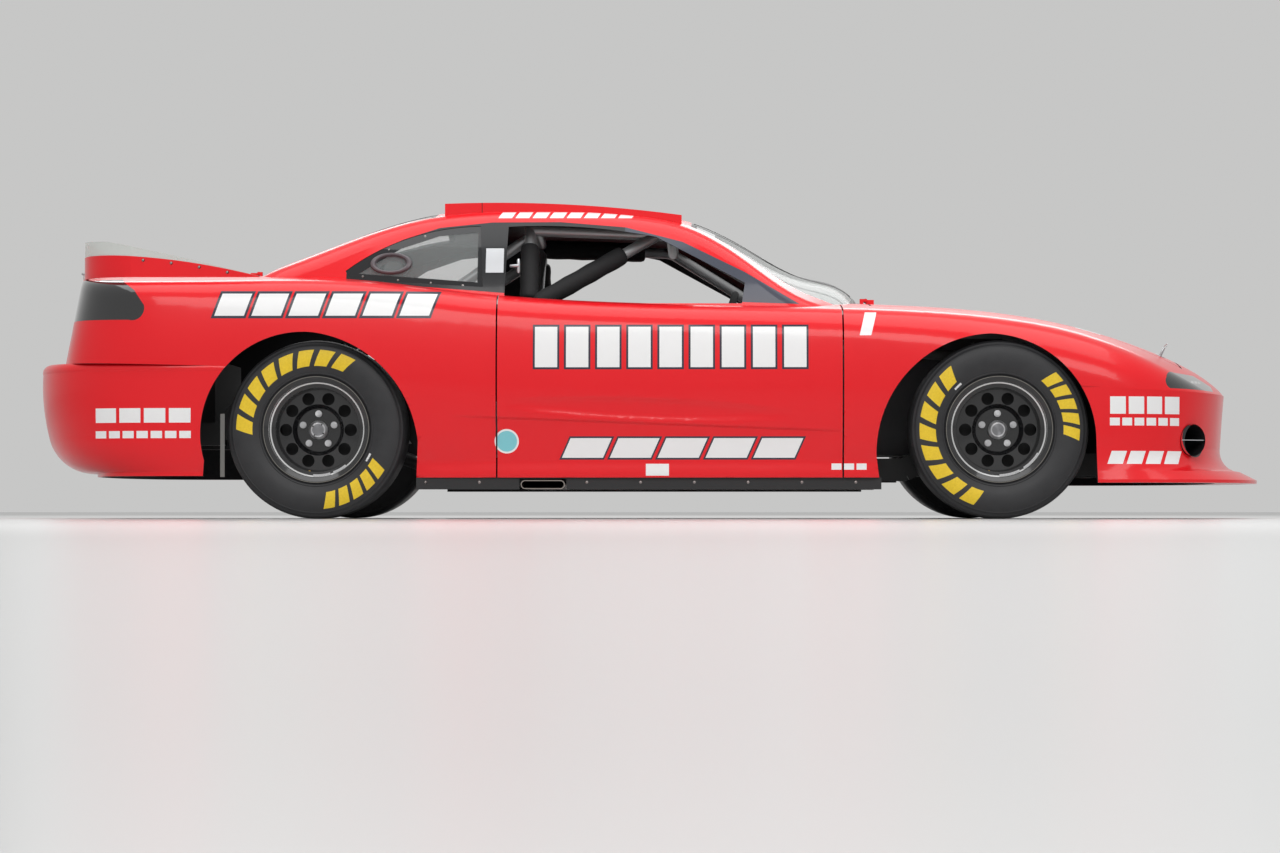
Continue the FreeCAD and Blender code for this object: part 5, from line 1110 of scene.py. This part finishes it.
def cushion(name, centre, sizes, tilt, cap):
    """A rounded pad of given sizes, tilted about Y and blown up."""
    bm = bmesh.new()
    lie = Matrix.Translation(centre) @ Matrix.Rotation(math.radians(tilt), 4, "Y")
    bmesh.ops.create_cube(bm, size=1, matrix=lie @ Matrix.Diagonal((*sizes, 1)))
    bmesh.ops.bevel(bm, geom=bm.edges, offset=min(sizes) * 0.42, segments=3, profile=0.5, affect="EDGES",
                    material=-1)
    pad = keep(name, bm, pad_cloth, "chassis", 180)
    blow_up(pad, cap)
    smooth = pad.modifiers.new("smooth", "SUBSURF")
    smooth.levels = smooth.render_levels = 1


# %% Seat pads
seat_low, seat_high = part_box("seat")
SEAT_Y = (seat_low.y + seat_high.y) / 2
cushion("seat_pad", (seat_low.x + 0.330, SEAT_Y, seat_low.z + 0.098), (0.300, 0.390, 0.044), -3.8, 0.012)
cushion("back_pad", (seat_low.x + 0.064, SEAT_Y, seat_low.z + 0.410), (0.034, 0.360, 0.330), 4.0, 0.012)

# %% [markdown]
# The belts are flat webbing that lies against the back and over the pad, sewn to a round buckle. Each is a
# strip drawn from its anchor to the buckle; webbing is too thin to be simulated.

# %% Webbing
webbing = Finish("webbing", (0.35, 0.010, 0.012), 0.75)
webbing.bump((webbing.y * 2200.0).sine(), 0.3, 0.0006)
SHOULDER_WIDE, LAP_WIDE, WEB_THICK = 0.070, 0.045, 0.0025


def belt(name, points, width):
    """A flat strap along points: a line of short cross-wise edges joined into faces."""
    points = [Vector(p) for p in points]
    bm = bmesh.new()
    rows = []
    for n, at in enumerate(points):
        run = (points[min(n + 1, len(points) - 1)] - points[max(n - 1, 0)]).normalized()
        across = run.cross(Vector((0.25, 0, 1)) if abs(run.y) > 0.6 else Vector((1, 0, 0.4)))
        across = across.normalized() * width / 2
        rows.append(bm.edges.new([bm.verts.new(at - across), bm.verts.new(at + across)]))
    bmesh.ops.bridge_loops(bm, edges=rows)
    bmesh.ops.solidify(bm, geom=bm.faces, thickness=WEB_THICK)
    strap = keep(name, bm, webbing, "chassis", 60)
    length = sum((b - a).length for a, b in zip(points, points[1:]))


# %% Harness
back_x, base_z = seat_low.x + 0.090, seat_low.z + 0.130
buckle = Vector((back_x + 0.075, SEAT_Y, base_z + 0.035))
for side, name in ((-1, "right"), (1, "left")):
    shoulder = [(seat_low.x + 0.010, SEAT_Y + side * 0.100, seat_high.z + 0.004),
                (seat_low.x + 0.070, SEAT_Y + side * 0.098, seat_high.z + 0.006),
                (back_x + 0.008, SEAT_Y + side * 0.095, seat_high.z - 0.070),
                (back_x + 0.010, SEAT_Y + side * 0.080, base_z + 0.250),
                (back_x + 0.020, SEAT_Y + side * 0.050, base_z + 0.110),
                buckle + Vector((0, side * 0.030, 0.020))]
    belt("shoulder_belt_" + name, shoulder, SHOULDER_WIDE)
    lap = [(back_x + 0.010, SEAT_Y + side * 0.195, base_z + 0.010),
           (back_x + 0.040, SEAT_Y + side * 0.120, base_z + 0.022),
           buckle + Vector((0, side * 0.028, -0.004))]
    belt("lap_belt_" + name, lap, LAP_WIDE)
bm = bmesh.new()
turned(bm, [(0, -0.006), (0.030, -0.006), (0.032, 0.000), (0.030, 0.010), (0.012, 0.014), (0, 0.014)], buckle,
       (0.9, 0, 0.44), (0, 1, 0), 28)
keep("harness_buckle", bm, plate_steel, "chassis")

# %% [markdown]
# Round gauges face the driver: a turned bezel, a black dial with plain white ticks, and a needle. Ticks and
# needle are told by a point's distance and angle from its gauge's middle.

# %% Gauges
dial = Finish("gauge_dial", (0.010, 0.010, 0.010), 0.4)
dial.grain(900.0, 0.15, 0.0003, 4.0)
# columns: sideways from the driver's middle, height, radius
GAUGES = [(0.0, 0.775, 0.050), (0.125, 0.785, 0.030), (0.205, 0.785, 0.030), (-0.125, 0.785, 0.030),
          (-0.205, 0.785, 0.030), (-0.285, 0.785, 0.030)]
TICKS, TICK_LOW, TICK_HIGH, TICK_HALF = 12, 0.62, 0.80, 0.10
NEEDLE_REACH, NEEDLE_SLOPE, NEEDLE_HALF = 0.55, 0.8, 0.0012


def gauge_marks(at, radius):
    """Mask of one gauge's ticks and needle."""
    dy, dz = dial.y - at.y, dial.z - at.z
    share = length_of(dy, dz) / radius
    spoke = (dz.math("ARCTAN2", dy) * (TICKS / math.tau)).fract()
    ring = share.between(TICK_LOW, TICK_HIGH) * (abs(spoke - 0.5) < TICK_HALF)
    return ring + (share < NEEDLE_REACH) * (abs(dz - dy * NEEDLE_SLOPE) < NEEDLE_HALF)


bezels, dials = bmesh.new(), bmesh.new()
marks = None
for sideways, z, radius in GAUGES:
    at, out = probe("dashboard", (0.0, SEAT_Y + sideways, z), (1, 0, 0))
    turned(bezels, [(radius, -0.004), (radius, 0.008), (radius * 0.92, 0.011), (radius * 0.86, 0.006),
                    (radius * 0.86, 0.002)], at, out, (0, 1, 0), 32)
    turned(dials, [(0, 0.0015), (radius * 0.87, 0.0015)], at, out, (0, 1, 0), 32)
    own = gauge_marks(at, radius)
    marks = own if marks is None else marks + own
dial.feed("Base Color", dial.blend(marks.math("MINIMUM", 1.0), dial.colour, (0.75, 0.75, 0.72)))
keep("gauge_bezels", bezels, plate_steel, "chassis")
keep("gauge_dials", dials, dial, "chassis")

# %% [markdown]
# The radiator's core is hundreds of thin fins, too fine to model: a fine ribbing in its finish stands for
# them.

# %% Radiator
core = Finish("radiator_core", (0.035, 0.035, 0.037), 0.6, Metallic=0.3)
fins = (core.y * 2400.0).sine() * 0.5 + (core.z * 700.0).sine() * 0.5
core.bump(fins, 0.8, 0.0015)
dress(core, "radiator")

# %% [markdown]
# The camera stands at floor level far to the right of the car with a long lens, so the side is seen nearly
# flat. It looks up by a little over a degree and is turned towards the tail by just under one.

# %% Camera
CAMERA_AT, LOOKS_UP, TURNED_BY = (0.1975, -14.893, 0.032), 1.33, 0.93
lens = bpy.data.cameras.new("side_view")
lens.lens, lens.sensor_width = 101.9, 36
camera = bpy.data.objects.new("side_view", lens)
bpy.context.scene.collection.objects.link(camera)
camera.location = CAMERA_AT
camera.rotation_euler = (math.radians(90 + LOOKS_UP), 0, math.radians(TURNED_BY))
bpy.context.scene.camera = camera
print("camera", round(math.hypot(*CAMERA_AT), 2), "m from the origin")

# %% [markdown]
# A plain studio: a pale floor, a pale world behind it that also fills the shadows, and large soft lamps:
# one overhead, which draws the long highlight on the shoulders, and one on each side.

# %% Studio
scene = bpy.context.scene
scene.view_settings.view_transform = "Standard"
world = bpy.data.worlds.new("studio")
scene.world = world
world.use_nodes = True
world.node_tree.nodes["Background"].inputs["Color"].default_value = (0.57, 0.57, 0.565, 1)

floor_paint = Finish("studio_floor", (0.62, 0.62, 0.62), 0.25)
bm = bmesh.new()
bmesh.ops.create_grid(bm, x_segments=1, y_segments=1, size=60)
floor_mesh = bpy.data.meshes.new("studio_floor")
bm.to_mesh(floor_mesh)
bm.free()
floor_mesh.materials.append(floor_paint.material)
floor = bpy.data.objects.new("studio_floor", floor_mesh)
scene.collection.objects.link(floor)

# columns: name, place, aimed at, width, length, power
LAMPS = [
    ("overhead", (0.0, -0.8, 4.6), (0, 0, 0), 7.5, 3.6, 140),
    ("right_side", (0.5, -8.0, 5.0), (0, 0, 0.5), 9.0, 3.0, 280),
    ("left_side", (0.0, 8.0, 5.0), (0, 0, 0.5), 9.0, 3.0, 220)]
for name, place, target, width, length, power in LAMPS:
    lamp = bpy.data.lights.new(name, "AREA")
    lamp.shape, lamp.size, lamp.size_y, lamp.energy = "RECTANGLE", width, length, power
    holder = bpy.data.objects.new(name, lamp)
    scene.collection.objects.link(holder)
    holder.location = place
    holder.rotation_euler = (Vector(target) - Vector(place)).to_track_quat("-Z", "Y").to_euler()
print(len(LAMPS), "lamps")
